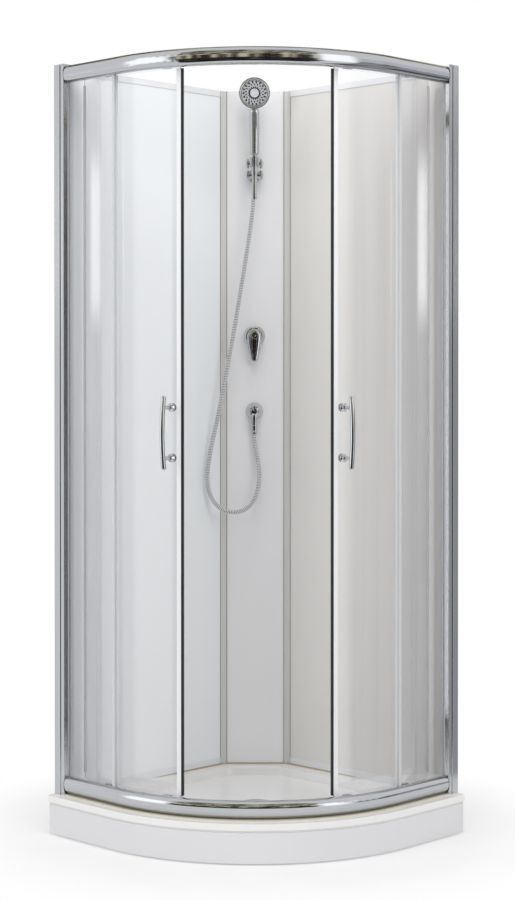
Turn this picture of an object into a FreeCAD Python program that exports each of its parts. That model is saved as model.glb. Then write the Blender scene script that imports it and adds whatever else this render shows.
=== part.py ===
import FreeCAD, Part
import math
import os
import re

from FreeCAD import Placement, Rotation, Vector

# Quadrant shower enclosure, millimetres, +Z up, entrance towards -Y.
# The tray's two wall sides meet at the back corner; the front is a quadrant.
# Corner frame: x runs along the left wall and y along the right wall, from the back corner.
# Arc frame: z is the axis of the quadrant's arc and x is a radius.
# Rail sections are given as an inset from the tray's front edge and a depth from the rail's outer face.

SIZES = {
    # footprint and heights
    "side": 800,
    "radius": 550,
    "edgeRound": 9,
    "backRound": 12,
    "rimTop": 105,
    "beadHeight": 3,
    "totalTop": 2070,
    # tray
    "shellWall": 5,
    "lipDrop": 17,
    "rimWidth": 95,
    "wallLedge": 60,
    "ledgeDrop": 10,
    "ledgeClear": 0.3,
    "floorDrop": 32,
    "basinRound": 45,
    "basinDraft": 12,
    "cornerCut": 172,
    # apron
    "apronInset": 1,
    "apronWall": 3,
    "apronClear": 4,
    "apronBead": 4,
    # underframe
    "beamSize": 25,
    "beamWall": 2,
    "beamSpread": 350,
    "beamShift": 22,
    "beamLength": 465,
    "footRadius": 22,
    "footHeight": 10,
    "studRadius": 5,
    "rimFootInset": 38,
    # waste
    "drainAhead": 190,
    "drainBore": 42,
    "drainFlange": 55,
    "drainCap": 52,
    "wasteRadius": 20,
    "wasteWall": 2,
    "wasteHeight": 31,
    "wasteReach": 150,
    "wasteSpigot": 60,
    # rail section
    "railFront": 27,
    "railHeight": 47,
    "railBack": 82,
    "railWall": 2,
    "noseUpper": 22,
    "noseLower": 17,
    "glassFace": 45,
    "slotWidth": 5.4,
    "channelDrop": 30,
    "lipReach": 66,
    "slotRoof": 5,
    "plugLength": 2,
    "plugReach": 12,
    # posts
    "postDepth": 30,
    "wallChannel": 23.5,
    "postWidth": 37.6,
    "postWall": 1.6,
    "nestGap": 0.4,
    "glassEntry": 12,
    "capHeight": 3,
    # glass and seals
    "glassThick": 5,
    "fixedWidth": 226,
    "glassPlay": 3,
    "doorGap": 7,
    "doorEdge": 34,
    "openAngle": 22.7,
    "magnetDepth": 6,
    "magnetHolder": 12,
    "trailAngle": 70.6,
    "trailSeal": 9,
    "sealWall": 1.2,
    # rollers
    "rollerLead": 5.5,
    "rollerTrail": 29.8,
    "wheelRadius": 10,
    "wheelWidth": 6,
    "wheelFit": 0.06,
    "wheelSide": 0.2,
    "wheelRun": 0.3,
    "axleRadius": 3,
    "clampSpan": 2.8,
    "stemSpan": 1.4,
    # handles
    "handleAngle": 26.6,
    "handleMiddle": 1089,
    "handleHoles": 130,
    "handleLength": 190,
    "handleStand": 50,
    "handleRadius": 6.5,
    "handleBow": 8,
    "knobRadius": 11,
    "stemRadius": 6,
    "stemFit": 1,
    "nutGap": 0.3,
    # wall lining
    "panelOff": 8,
    "panelThick": 5,
    "panelStart": 147,
    "profileSkin": 2,
    "panelTopBand": 17,
    "panelFootBand": 20,
    "panelSideBand": 12,
    # fittings
    "fittingSide": -3,
    "mixerHeight": 1353,
    "inletDepth": 32,
    "inletRadius": 15,
    "inletSpread": 70,
    "inletSlope": 30,
    "threadLength": 15,
    "tailRadius": 10,
    "leverPin": 2.5,
    "leverPinUp": 12,
    "leverPinOut": 22.5,
    "leverLug": 14.4,
    "leverThick": 12,
    "mixerRadius": 31,
    "bodyRadius": 21,
    "outletHeight": 1133,
    "outletRadius": 25.5,
    "outletOut": 17,
    "neckRadius": 9,
    "neckDrop": 41,
    "nutRadius": 9.2,
    "holderHeight": 1822,
    "holderStand": 58,
    "socketAbove": 34,
    "pivotOut": 31,
    "pivotKnob": 12,
    "pivotAxle": 4,
    "forkInner": 12,
    "forkOuter": 21,
    "socketTop": 11.4,
    "socketFoot": 10.4,
    "socketWall": 3,
    "socketTall": 26,
    "socketFit": 0.3,
    "handsetTop": 2055,
    "headRadius": 45,
    "gripRadius": 14.8,
    "headTilt": 8,
    "headAhead": 10,
    "hoseRadius": 6.8,
    "loopDrop": 296,
}

doc = FreeCAD.newDocument("QuadrantShower")
sheet = doc.addObject("Spreadsheet::Sheet", "Sizes")
for row, (alias, value) in enumerate(SIZES.items(), 1):
    sheet.set(f"A{row}", alias)
    sheet.set(f"B{row}", str(value))
    sheet.setAlias(f"B{row}", alias)
doc.recompute()


def size(alias):
    """A driving size, read from the sheet."""
    return float(sheet.get(alias))


def bind(thing, prop, formula):
    """Ties a property to the sheet. Words in the formula are the sheet's aliases."""
    thing.setExpression(prop, re.sub(r"[a-z][A-Za-z]+", r"Sizes.\g<0>", formula))


# Places worked out from the driving sizes.
side, radius = size("side"), size("radius")
straight = side - radius
arc_axis = straight * math.sqrt(2)
back_trim = size("backRound") * (math.sqrt(2) - 1)
middle = (arc_axis + radius + back_trim) / 2
arc_y = middle - arc_axis
rail_foot = size("rimTop") + size("beadHeight")
rail_top = size("totalTop")
CORNER = Placement(Vector(0, middle, 0), Rotation(Vector(0, 0, 1), -135))
LEFT, RIGHT = -1, 1
NAMES = {LEFT: "left", RIGHT: "right"}
nodes = []


def arc_place(theta, hand):
    """The arc frame with its x axis on the radius that is theta degrees from the front."""
    return Placement(Vector(0, arc_y, 0), Rotation(Vector(0, 0, 1), 270 + hand * theta))


def as_node(thing, label):
    """Names a finished sub-part, which is written to its own file."""
    thing.Label = label
    nodes.append(thing)
    return thing


def new_body(label, place=None):
    """A body that is a sub-part by itself, or with no label one piece of a group."""
    body = doc.addObject("PartDesign::Body", label or "Piece")
    if label:
        as_node(body, label)
    if place is not None:
        body.Placement = place
    return body


def plane_of(body, role):
    return next(f for f in body.Origin.OriginFeatures if f.Role == role)


def outline(corners):
    """Lines and tangent arcs round a closed polygon. Each corner is (x, y) or (x, y, round)."""
    corners = [c if len(c) == 3 else (c[0], c[1], 0) for c in corners]
    cuts = []
    for i, (x, y, rounding) in enumerate(corners):
        here = Vector(x, y, 0)
        before = Vector(*corners[i - 1][:2], 0) - here
        after = Vector(*corners[(i + 1) % len(corners)][:2], 0) - here
        before.normalize()
        after.normalize()
        if not rounding:
            cuts.append((here, None, here))
            continue
        half = before.getAngle(after) / 2
        reach = rounding / math.tan(half)
        inward = before + after
        inward.normalize()
        nearest = here + inward * (rounding / math.sin(half) - rounding)
        cuts.append((here + before * reach, nearest, here + after * reach))
    edges = []
    for i, (start, nearest, end) in enumerate(cuts):
        if nearest is not None:
            edges.append(Part.Arc(start, nearest, end))
        following = cuts[(i + 1) % len(cuts)][0]
        if end.distanceToPoint(following) > 1e-6:
            edges.append(Part.LineSegment(end, following))
    return edges


def circle(x, y, r):
    return [Part.Circle(Vector(x, y, 0), Vector(0, 0, 1), r)]


def sketch_on(body, role, edges, lift=None, turn=0):
    """A sketch on one of the body's own planes, lifted along the plane's normal by a formula."""
    sketch = body.newObject("Sketcher::SketchObject", "Sketch")
    sketch.AttachmentSupport = [(plane_of(body, role), "")]
    sketch.MapMode = "FlatFace"
    sketch.AttachmentOffset = Placement(Vector(0, 0, 0), Rotation(Vector(0, 1, 0), turn))
    if lift is not None:
        bind(sketch, "AttachmentOffset.Base.z", lift)
    sketch.addGeometry(edges, False)
    return sketch


def pad(body, sketch, length, flip=False, both=False):
    feature = body.newObject("PartDesign::Pad", "Pad")
    feature.Profile = sketch
    feature.Reversed = flip
    feature.Midplane = both
    bind(feature, "Length", length)
    return feature


def pocket(body, sketch, length, flip=False, taper=None):
    feature = body.newObject("PartDesign::Pocket", "Pocket")
    feature.Profile = sketch
    feature.Reversed = flip
    bind(feature, "Length", length)
    if taper is not None:
        bind(feature, "TaperAngle", taper)
    return feature


def revolve(body, sketch, angle="360", axis="V_Axis"):
    feature = body.newObject("PartDesign::Revolution", "Revolution")
    feature.Profile = sketch
    feature.ReferenceAxis = (sketch, [axis])
    feature.Midplane = True
    bind(feature, "Angle", angle)
    return feature


def pipe(body, section, spine):
    feature = body.newObject("PartDesign::AdditivePipe", "Pipe")
    feature.Profile = section
    feature.Spine = (spine, [f"Edge{i + 1}" for i in range(len(spine.Geometry))])
    return feature


def group(label, pieces):
    """Like pieces that share a node."""
    compound = doc.addObject("Part::Compound", label)
    compound.Links = pieces
    return as_node(compound, label)


def fused(label, pieces):
    """Shapes that are one solid on the real piece."""
    whole = doc.addObject("Part::MultiFuse", label)
    whole.Shapes = pieces
    return as_node(whole, label)


def upright(label, corners, foot, height, hand=None, holes=()):
    """A prism along z in the corner frame. With a hand, corners are (off the wall, along the wall)."""
    def placed(points):
        return [(p[1], p[0], *p[2:]) if hand == LEFT else p for p in points]

    body = new_body(label, CORNER)
    edges = outline(placed(corners))
    for hole in holes:
        edges += outline(placed(hole))
    pad(body, sketch_on(body, "XY_Plane", edges, foot), height)
    return body


def along_front(label, loops, first):
    """A section carried round the tray's front: straight, quadrant, straight.

    The loops hold (inset, height) corners, and the run starts and ends at 'first' from the walls."""
    body = new_body(label, CORNER)
    edges = []
    for loop in loops:
        edges += outline([(side - c[0], *c[1:]) for c in loop])
    run = f"side - radius - {first:.4f}"
    one = sketch_on(body, "YZ_Plane", edges, "side - radius")
    pad(body, one, run, flip=True)
    bend = sketch_on(body, "YZ_Plane", edges, "side - radius")
    pivot = Part.LineSegment(Vector(straight, 0, 0), Vector(straight, rail_foot, 0))
    bend.addGeometry(pivot, True)
    turned = revolve(body, bend, "90", "Axis0")
    turned.Midplane = False
    turned.Reversed = True
    other = sketch_on(body, "XZ_Plane", edges, "radius - side")
    pad(body, other, run)
    return body


def round_arc(body, loops, angle):
    """Revolves (inset, height) loops about the arc's axis, to both sides of the frame's x axis."""
    edges = []
    for loop in loops:
        edges += outline([(radius - c[0], *c[1:]) for c in loop])
    return revolve(body, sketch_on(body, "XZ_Plane", edges), angle)


def tray_corners(front, wall):
    """The tray's outline, inset from its front edges and its wall edges."""
    far = side - front
    return [
        (wall, wall, size("backRound")),
        (far, wall, size("edgeRound")),
        (far, far, radius - front),
        (wall, far, size("edgeRound")),
    ]


def basin_corners(grow):
    """The basin's outline, grown outwards."""
    near, cut = size("wallLedge") - grow, size("cornerCut") - grow * 0.6
    far = side - size("rimWidth") + grow
    soft = size("basinRound") + grow
    return [
        (cut, near, soft),
        (far, near, soft),
        (far, far, radius - size("rimWidth") + grow),
        (near, far, soft),
        (near, cut, soft),
    ]


def shower_tray():
    """A thin-walled acrylic tray: rim, hanging lip, back ledge for the lining, draughted basin."""
    body = new_body("shower_tray", CORNER)
    wall = size("shellWall")
    ledge_end = side - size("railFront") - size("postDepth") + size("ledgeClear")
    pad(
        body,
        sketch_on(body, "XY_Plane", outline(tray_corners(0, 0)), "rimTop - shellWall"),
        "shellWall",
    )
    skirt = outline(tray_corners(0, 0)) + outline(tray_corners(wall, wall))
    pad(body, sketch_on(body, "XY_Plane", skirt, "rimTop - lipDrop"), "lipDrop - shellWall")
    inner = size("wallLedge") + 15
    corner = size("cornerCut") + 15

    def ledge(grow, start, rounding):
        return outline(
            [
                (start, start, rounding),
                (ledge_end + grow, start),
                (ledge_end + grow, inner + grow),
                (corner + grow, inner + grow, 20),
                (inner + grow, corner + grow, 20),
                (inner + grow, ledge_end + grow),
                (start, ledge_end + grow),
            ]
        )

    pad(
        body,
        sketch_on(body, "XY_Plane", ledge(wall, 0, size("backRound")), "rimTop - ledgeDrop - shellWall"),
        "ledgeDrop",
    )
    basin = sketch_on(body, "XY_Plane", outline(basin_corners(wall)), "rimTop - shellWall")
    shell = pad(body, basin, "floorDrop", flip=True)
    bind(shell, "TaperAngle", "-basinDraft")
    pocket(body, sketch_on(body, "XY_Plane", ledge(0, -1, 0), "rimTop"), "ledgeDrop")
    hollow = sketch_on(body, "XY_Plane", outline(basin_corners(0)), "rimTop")
    pocket(body, hollow, "floorDrop", taper="-basinDraft")
    drain = sketch_on(body, "XY_Plane", circle(*drain_spot(), size("drainBore")), "rimTop")
    pocket(body, drain, "floorDrop + 2 * shellWall")
    return body


def drain_spot():
    """The drain's centre in the corner frame: on the diagonal, behind the entrance."""
    reach = (arc_axis + size("drainAhead")) / math.sqrt(2)
    return reach, reach


def tray_apron():
    """The removable front panel below the tray's lip, with a rounded upper bead."""
    outer = size("apronInset")
    top, foot = size("rimTop") - size("lipDrop"), size("apronClear")
    thick, bead = size("apronWall"), size("apronBead")
    loop = [
        (outer + thick + 2, top),
        (outer + 0.5, top, 1),
        (outer + 0.5, top - bead, 1),
        (outer + 2, top - bead - 1),
        (outer + 2, top - bead - 2),
        (outer, top - bead - 3, 1),
        (outer, foot, 1),
        (outer + thick + 9, foot, 1),
        (outer + thick + 9, foot + 2),
        (outer + thick, foot + 2),
        (outer + thick, top - 2),
        (outer + thick + 2, top - 2),
    ]
    return along_front("tray_apron", [loop], size("edgeRound") + 1)


def beam(x, y):
    """A box tube that runs from front to back under the basin."""
    body = new_body(None, Placement(Vector(x, y, 0), Rotation()))
    half, wall = size("beamSize") / 2, size("beamWall")
    top = size("rimTop") - size("floorDrop") - size("shellWall")
    edges = outline([(s * half, z, 2) for s, z in ((-1, top), (1, top), (1, top - 2 * half), (-1, top - 2 * half))])
    inner = half - wall
    low, high = top - 2 * half + wall, top - wall
    edges += outline([(-inner, high), (inner, high), (inner, low), (-inner, low)])
    pad(body, sketch_on(body, "XZ_Plane", edges), "beamLength", both=True)
    return body


def foot_at(x, y, top):
    """An adjustable foot: moulded pad, threaded stud, nut under what it carries."""
    body = new_body(None, Placement(Vector(x, y, 0), Rotation()))
    pad_r, pad_h, stud = size("footRadius"), size("footHeight"), size("studRadius")
    profile = outline(
        [
            (0, 0),
            (pad_r, 0, 1.5),
            (pad_r, 4, 1.5),
            (stud + 6, pad_h, 1),
            (stud, pad_h + 1),
            (stud, top - 8),
            (stud + 4, top - 8, 0.6),
            (stud + 4, top - 2),
            (stud + 7, top - 2),
            (stud + 7, top),
            (0, top),
        ]
    )
    revolve(body, sketch_on(body, "XZ_Plane", profile))
    return body


def underframe():
    spread, reach = size("beamSpread") / 2, size("beamLength") / 2
    shift = drain_centre().y + size("beamShift")
    beams = [beam(s * spread, shift) for s in (-1, 1)]
    group("support_beams", beams)
    beam_foot = size("rimTop") - size("floorDrop") - size("shellWall") - size("beamSize")
    feet = []
    for s in (-1, 1):
        for t in (-1, 1):
            feet.append(foot_at(s * spread, shift + t * (reach - 30), beam_foot))
    rim_under = size("rimTop") - size("shellWall")
    inset = size("rimFootInset")
    edge = arc_axis + radius - inset
    spots = [(0, middle - edge)]
    for hand in (LEFT, RIGHT):
        off, far = 55, side - inset
        spots.append((hand * (far - off) / math.sqrt(2), middle - (far + off) / math.sqrt(2)))
    feet += [foot_at(x, y, rim_under) for x, y in spots]
    group("tray_feet", feet)


def drain_centre():
    return Vector(0, arc_y - size("drainAhead"), 0)


def drain():
    """Waste trap: flange on the basin floor, cup below it, outlet pipe towards the back, lift-off cap."""
    floor = size("rimTop") - size("floorDrop")
    under = floor - size("shellWall")
    bore, flange = size("drainBore"), size("drainFlange")
    body = new_body(None, Placement(drain_centre(), Rotation()))
    cup = outline(
        [
            (bore - 6, floor + 1.2),
            (flange, floor + 1.2, 0.8),
            (flange, floor),
            (bore - 0.2, floor),
            (bore - 0.2, under),
            (bore + 8, under),
            (bore + 8, under - 6, 2),
            (bore - 2, under - 9),
            (bore - 6, 8, 6),
            (0, 8),
            (0, 11),
            (bore - 9, 11, 5),
            (bore - 6, under - 9),
        ]
    )
    revolve(body, sketch_on(body, "XZ_Plane", cup))
    pipe_r, low = size("wasteRadius"), size("wasteHeight")
    outer = sketch_on(body, "XZ_Plane", circle(0, low, pipe_r), "-drainBore + 9")
    pad(body, outer, "wasteReach", flip=True)
    socket = sketch_on(body, "XZ_Plane", circle(0, low, pipe_r + 3), "-drainBore + 9")
    pad(body, socket, "wasteReach - wasteSpigot", flip=True)
    inner = sketch_on(body, "XZ_Plane", circle(0, low, pipe_r - size("wasteWall")), "-drainBore + 12")
    pocket(body, inner, "wasteReach + 1")
    body.Label = "drain_body"
    nodes.append(body)
    cap = new_body("drain_cap", Placement(drain_centre(), Rotation()))
    cap_r = size("drainCap")
    dome = outline(
        [
            (0, floor + 8),
            (cap_r - 14, floor + 7, 20),
            (cap_r, floor + 2.5, 1),
            (cap_r - 2, floor + 1.5),
            (cap_r - 14, floor + 4.5, 10),
            (bore - 8, floor + 4.5),
            (bore - 8, floor - 4),
            (bore - 10, floor - 4),
            (bore - 10, floor + 5),
            (0, floor + 5.5),
        ]
    )
    revolve(cap, sketch_on(cap, "XZ_Plane", dome))


def rail_loops(flip):
    """The rail's section: a rounded hollow nose, the slot of the fixed glass and the rollers' channel."""
    front, back, face = size("railFront"), size("railBack"), size("glassFace")
    wall, height, drop = size("railWall"), size("railHeight"), size("channelDrop")
    slot, reach, web = size("slotWidth"), size("lipReach"), size("railWall") + 1
    roof = size("slotRoof")
    outer = [
        (back, 0),
        (front, 0, size("noseUpper")),
        (front, height, size("noseLower")),
        (face, height),
        (face, roof),
        (face + slot, roof),
        (face + slot, drop),
        (face + slot + wall, drop),
        (face + slot + wall, web),
        (back - wall, web),
        (back - wall, drop - wall - 0.5),
        (reach, drop - wall - 0.5),
        (reach, drop),
        (back, drop),
    ]
    return [[level(c, flip) for c in loop] for loop in (outer, nose_chamber(wall))]


def nose_chamber(wall):
    """The hollow of the rail's nose, or with a larger wall the tongue that plugs it."""
    near, far = size("railFront") + wall, size("glassFace") - wall
    soft = far - near - 1
    upper = size("noseUpper") - soft - 1 + wall - size("railWall")
    lower = size("railHeight") - wall
    return [(far, upper), (near, upper, soft), (near, lower, soft), (far, lower)]


def level(corner, flip):
    """Turns a depth from the rail's outer face into a height: the top rail hangs, the bottom one stands."""
    height = rail_top - corner[1] if flip else rail_foot + corner[1]
    return (corner[0], height, *corner[2:])


def rails():
    first = size("postWidth") + size("plugLength")
    along_front("bottom_rail", rail_loops(False), first)
    along_front("top_rail", rail_loops(True), first)
    front, back = size("railFront") + 1, size("railBack") - 1
    low, high = size("rimTop"), rail_foot
    bead = [(front, low), (back, low), (back, high), (front - 1, high), (front - 2, low)]
    along_front("sealing_bead", [bead], size("postWidth"))


def rail_plugs():
    """Black end pieces between the rails and the posts, with a tongue in the rail's nose."""
    pieces = []
    fit = 0.3
    for hand in (LEFT, RIGHT):
        for flip in (False, True):
            front, face, wall = size("railFront"), size("glassFace"), size("railWall")
            height = size("railHeight")
            plate = [
                (front, 1, size("noseLower")),
                (front, height, size("noseLower")),
                (face, height),
                (face, 1),
            ]
            tongue = nose_chamber(wall + fit)
            body = new_body(None, CORNER)
            role = "YZ_Plane" if hand == RIGHT else "XZ_Plane"
            turn = 1 if hand == RIGHT else -1

            def drawn(loop):
                return outline([(side - c[0], *level(c, flip)[1:]) for c in loop])

            first = sketch_on(body, role, drawn(plate))
            first.AttachmentOffset = Placement(Vector(0, 0, turn * size("postWidth")), Rotation())
            pad(body, first, "plugLength", flip=hand == LEFT)
            second = sketch_on(body, role, drawn(tongue))
            reach = turn * (size("postWidth") + size("plugLength"))
            second.AttachmentOffset = Placement(Vector(0, 0, reach), Rotation())
            pad(body, second, "plugReach", flip=hand == LEFT)
            pieces.append(body)
    group("rail_end_plugs", pieces)


def posts():
    """At each wall a channel profile, and in it the chromed post that holds the fixed glass."""
    front = side - size("railFront")
    depth, channel, width = size("postDepth"), size("wallChannel"), size("postWidth")
    wall, nest = size("postWall"), size("nestGap")
    face = side - size("glassFace")
    slot = size("glassThick") + 3
    caps = []
    for hand in (LEFT, RIGHT):
        name = NAMES[hand]
        back = front - depth
        trough = [
            (0, back),
            (channel, back),
            (channel, back + wall),
            (wall, back + wall),
            (wall, front - wall),
            (channel, front - wall),
            (channel, front, 1),
            (0, front, 1),
        ]
        upright(name + "_wall_profile", trough, "rimTop", "totalTop - rimTop", hand)
        low, high = back + wall + nest, front - wall - nest
        foot = wall + nest
        middle_slot = face - size("glassThick") / 2
        entry = width - size("glassEntry")
        shape = [
            (foot, low),
            (width, low, 1),
            (width, middle_slot - slot / 2),
            (entry, middle_slot - slot / 2),
            (entry, middle_slot + slot / 2),
            (width, middle_slot + slot / 2),
            (width, high, 1.5),
            (foot, high),
        ]
        chamber = [
            (foot + wall, low + wall),
            (entry - wall, low + wall),
            (entry - wall, middle_slot + slot / 2 + wall),
            (width - wall, middle_slot + slot / 2 + wall),
            (width - wall, high - wall),
            (foot + wall, high - wall),
        ]
        upright(name + "_post", shape, "rimTop", "totalTop - rimTop", hand, [chamber])
        cap = upright(None, [(0, back), (width, back, 2), (width, front, 3), (0, front, 1)],
                      "totalTop", "capHeight", hand)
        caps.append(cap)
    group("post_caps", caps)


def fixed_glazing():
    """The flat panes beside the posts, their gaskets and the fin seals on their free edges."""
    face = side - size("glassFace")
    thick, width = size("glassThick"), size("fixedWidth")
    entry = size("postWidth") - size("glassEntry")
    gap = (size("slotWidth") - thick) / 2
    inner = face - gap - thick
    gaskets = []
    roof, drop = size("slotRoof"), size("channelDrop")
    for hand in (LEFT, RIGHT):
        pane = [
            (entry + 0.3, inner),
            (width, inner),
            (width, inner + thick),
            (entry + 0.3, inner + thick),
        ]
        foot = "rimTop + beadHeight + slotRoof"
        tall = "totalTop - rimTop - beadHeight - 2 * slotRoof - glassPlay"
        upright(NAMES[hand] + "_fixed_glass", pane, foot, tall, hand)
        slot = thick + 3
        centre = face - thick / 2
        for low, high in ((centre - slot / 2, inner), (inner + thick, centre + slot / 2)):
            strip = [(entry + 2, low), (size("postWidth") + 2, low), (size("postWidth") + 2, high), (entry + 2, high)]
            inside = "totalTop - rimTop - beadHeight - 2 * railHeight"
            gaskets.append(upright(None, strip, "rimTop + beadHeight + railHeight", inside, hand))
    group("glass_gaskets", gaskets)
    wall = size("sealWall")
    fins = []
    for hand in (LEFT, RIGHT):
        fin = [
            (width - 9, inner + thick),
            (width - 9, inner + thick + wall, 0.5),
            (width + wall, inner + thick + wall, 1),
            (width + wall, inner - wall),
            (width + 4.5, inner - 4.6),
            (width + 3.5, inner - 5.4),
            (width - 1, inner - wall),
            (width - 9, inner - wall, 0.5),
            (width - 9, inner),
            (width, inner),
            (width, inner + thick),
        ]
        inside = "totalTop - rimTop - beadHeight - 2 * railHeight - 1"
        fins.append(upright(None, fin, "rimTop + beadHeight + railHeight + 0.5", inside, hand))
    group("fixed_glass_seals", fins)


def door_inset():
    """The inset of a door glass's outer face."""
    return size("glassFace") + (size("slotWidth") + size("glassThick")) / 2 + size("doorGap") - 0.2


def door_glass(hand):
    """A pane bent to the arc, with two holes for the handle."""
    lead = size("openAngle") + seal_angle(size("magnetDepth") + 2)
    centre = (lead + size("trailAngle")) / 2
    body = new_body(NAMES[hand] + "_door_glass", arc_place(centre, hand))
    near, edge = door_inset(), size("doorEdge")
    far = near + size("glassThick")
    low, high = rail_foot + edge, rail_top - edge
    angle = f"trailAngle - openAngle - {seal_angle(size('magnetDepth') + 2):.6f}"
    round_arc(body, [[(near, low), (far, low), (far, high), (near, high)]], angle)
    turn = hand * (size("handleAngle") - centre)
    reach = size("handleHoles") / 2
    holes = []
    for z in (-reach, reach):
        holes += circle(0, size("handleMiddle") + z, size("stemRadius"))
    sketch = sketch_on(body, "YZ_Plane", holes, turn=turn)
    pocket(body, sketch, "radius", flip=True)
    return body


def seal_angle(length):
    """The angle that a length covers along the door's arc."""
    return math.degrees(length / (radius - door_inset()))


def door_seals(hand):
    """Magnet holder and magnet on the leading edge, lip seal on the trailing edge."""
    name = NAMES[hand]
    near = door_inset()
    far = near + size("glassThick")
    wall, edge = size("sealWall"), size("doorEdge")
    low, high = rail_foot + size("railHeight") + 1, rail_top - size("railHeight") - 1
    magnet, holder = size("magnetDepth"), size("magnetHolder")
    start = size("openAngle")

    def piece(label, first, last, loops):
        centre = (first + last) / 2
        body = new_body(label, arc_place(centre, hand))
        round_arc(body, loops, f"{last - first:.6f}")
        return body

    glass_from = start + seal_angle(magnet + 2)
    strip = [(near - 0.5, low), (far + 0.5, low), (far + 0.5, high), (near - 0.5, high)]
    piece(name + "_magnet", start, start + seal_angle(magnet), [strip])
    bed = new_body(name + "_magnet_seal", arc_place(start + seal_angle(magnet + holder / 2), hand))
    block = [(near - wall, low), (far + wall, low), (far + wall, high), (near - wall, high)]
    round_arc(bed, [block], f"{seal_angle(holder):.6f}")
    groove = bed.newObject("Sketcher::SketchObject", "Sketch")
    groove.AttachmentSupport = [(plane_of(bed, "XY_Plane"), "")]
    groove.MapMode = "FlatFace"
    half = seal_angle(holder) / 2
    first, last = -half + seal_angle(1.9), half + 0.1
    if hand == LEFT:
        first, last = -last, -first
    groove.addGeometry(ring_sector(radius - far, radius - near, first, last), False)
    bind(groove, "AttachmentOffset.Base.z", "totalTop")
    pocket(bed, groove, "totalTop")
    tail = size("trailAngle")
    lip = new_body(name + "_trailing_seal", arc_place(tail + seal_angle(size("trailSeal") / 2 - 4), hand))
    span = size("trailSeal") + 8
    round_arc(lip, [[(near - wall, low), (far + wall, low), (far + wall, high), (near - wall, high)]],
              f"{seal_angle(span):.6f}")
    half = seal_angle(span) / 2
    cuts = ring_sector(radius - far, radius - near, -half - 0.1, half - seal_angle(span - 8))
    end_cut = ring_sector(radius - far - 2, radius - near - 1.5, half - seal_angle(span - 9.5), half + 0.1)
    for loop in (cuts, end_cut):
        if hand == LEFT:
            loop = mirrored(loop)
        slot = lip.newObject("Sketcher::SketchObject", "Sketch")
        slot.AttachmentSupport = [(plane_of(lip, "XY_Plane"), "")]
        slot.MapMode = "FlatFace"
        slot.addGeometry(loop, False)
        bind(slot, "AttachmentOffset.Base.z", "totalTop")
        pocket(lip, slot, "totalTop")


def ring_sector(inner, outer, first, last):
    """A closed loop between two radii and two angles."""
    def at(r, degrees):
        a = math.radians(degrees)
        return Vector(r * math.cos(a), r * math.sin(a), 0)

    centre = (first + last) / 2
    return [
        Part.Arc(at(outer, first), at(outer, centre), at(outer, last)),
        Part.LineSegment(at(outer, last), at(inner, last)),
        Part.Arc(at(inner, last), at(inner, centre), at(inner, first)),
        Part.LineSegment(at(inner, first), at(outer, first)),
    ]


def mirrored(edges):
    """A loop mirrored in the x axis."""
    result = []
    for edge in edges:
        points = [Vector(p.x, -p.y, 0) for p in (edge.StartPoint, edge.EndPoint)]
        if isinstance(edge, Part.LineSegment):
            result.append(Part.LineSegment(*points))
            continue
        half = edge.value((edge.FirstParameter + edge.LastParameter) / 2)
        result.append(Part.Arc(points[0], Vector(half.x, -half.y, 0), points[1]))
    return result


def wheel_depth():
    """The depth of a wheel's axis from the rail's outer face."""
    return size("channelDrop") - size("railWall") - 0.5 - size("wheelRun") - size("wheelRadius")


def wheel_inset():
    """The inset of a wheel's middle plane."""
    return size("lipReach") + 1.2 + size("wheelWidth") / 2


def roller_bracket(theta, hand, flip):
    """A clamp over the glass edge with a stem and a shouldered axle for the wheel."""
    body = new_body(None, arc_place(theta, hand))
    near = door_inset()
    far = near + size("glassThick")
    edge, top = size("doorEdge"), size("channelDrop") + 0.7
    clamp = [
        (near - 3, edge + 12, 1),
        (near, edge + 12),
        (near, edge),
        (far, edge),
        (far, edge + 12),
        (far + 3.4, edge + 12, 1.5),
        (far + 3.4, top),
        (near - 3, top),
    ]
    stem = [(near - 1, top + 1), (near + 3, top + 1), (near + 3, wheel_depth() - 5, 1), (near - 1, wheel_depth() - 5, 1)]
    round_arc(body, [[level(c, flip) for c in clamp]], "clampSpan")
    round_arc(body, [[level(c, flip) for c in stem]], "stemSpan")
    z = level((0, wheel_depth()), flip)[1]
    shoulder = wheel_inset() - size("wheelWidth") / 2 - size("wheelSide")
    end = wheel_inset() + size("wheelWidth") / 2 + size("wheelSide")
    axle = size("axleRadius")
    for start, stop, r in ((near + 2, shoulder, axle + 1.5), (shoulder, end, axle), (end, end + 1.2, axle + 1.2)):
        sketch = sketch_on(body, "YZ_Plane", circle(0, z, r))
        sketch.AttachmentOffset = Placement(Vector(0, 0, radius - stop), Rotation())
        feature = body.newObject("PartDesign::Pad", "Pad")
        feature.Profile = sketch
        feature.Length = stop - start
    return body


def wheel(label, theta, hand, flip):
    """A flanged roller that turns on its bracket's axle."""
    z = level((0, wheel_depth()), flip)[1]
    place = arc_place(theta, hand) * Placement(
        Vector(radius - wheel_inset(), 0, z), Rotation(Vector(0, 1, 0), 90)
    )
    body = new_body(label, place)
    bore = size("axleRadius") + size("wheelFit")
    half, rim = size("wheelWidth") / 2, size("wheelRadius")
    profile = outline(
        [
            (bore, -half),
            (bore + 2, -half),
            (bore + 2.6, -half + 0.8),
            (rim - 2.5, -half + 0.8),
            (rim - 2, -half),
            (rim, -half, 0.6),
            (rim, half, 0.6),
            (rim - 2, half),
            (rim - 2.5, half - 0.8),
            (bore + 2.6, half - 0.8),
            (bore + 2, half),
            (bore, half),
        ]
    )
    revolve(body, sketch_on(body, "XZ_Plane", profile))
    return body


def roller_angles():
    start = size("openAngle")
    return (start + size("rollerLead"), start + size("rollerTrail"))


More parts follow.
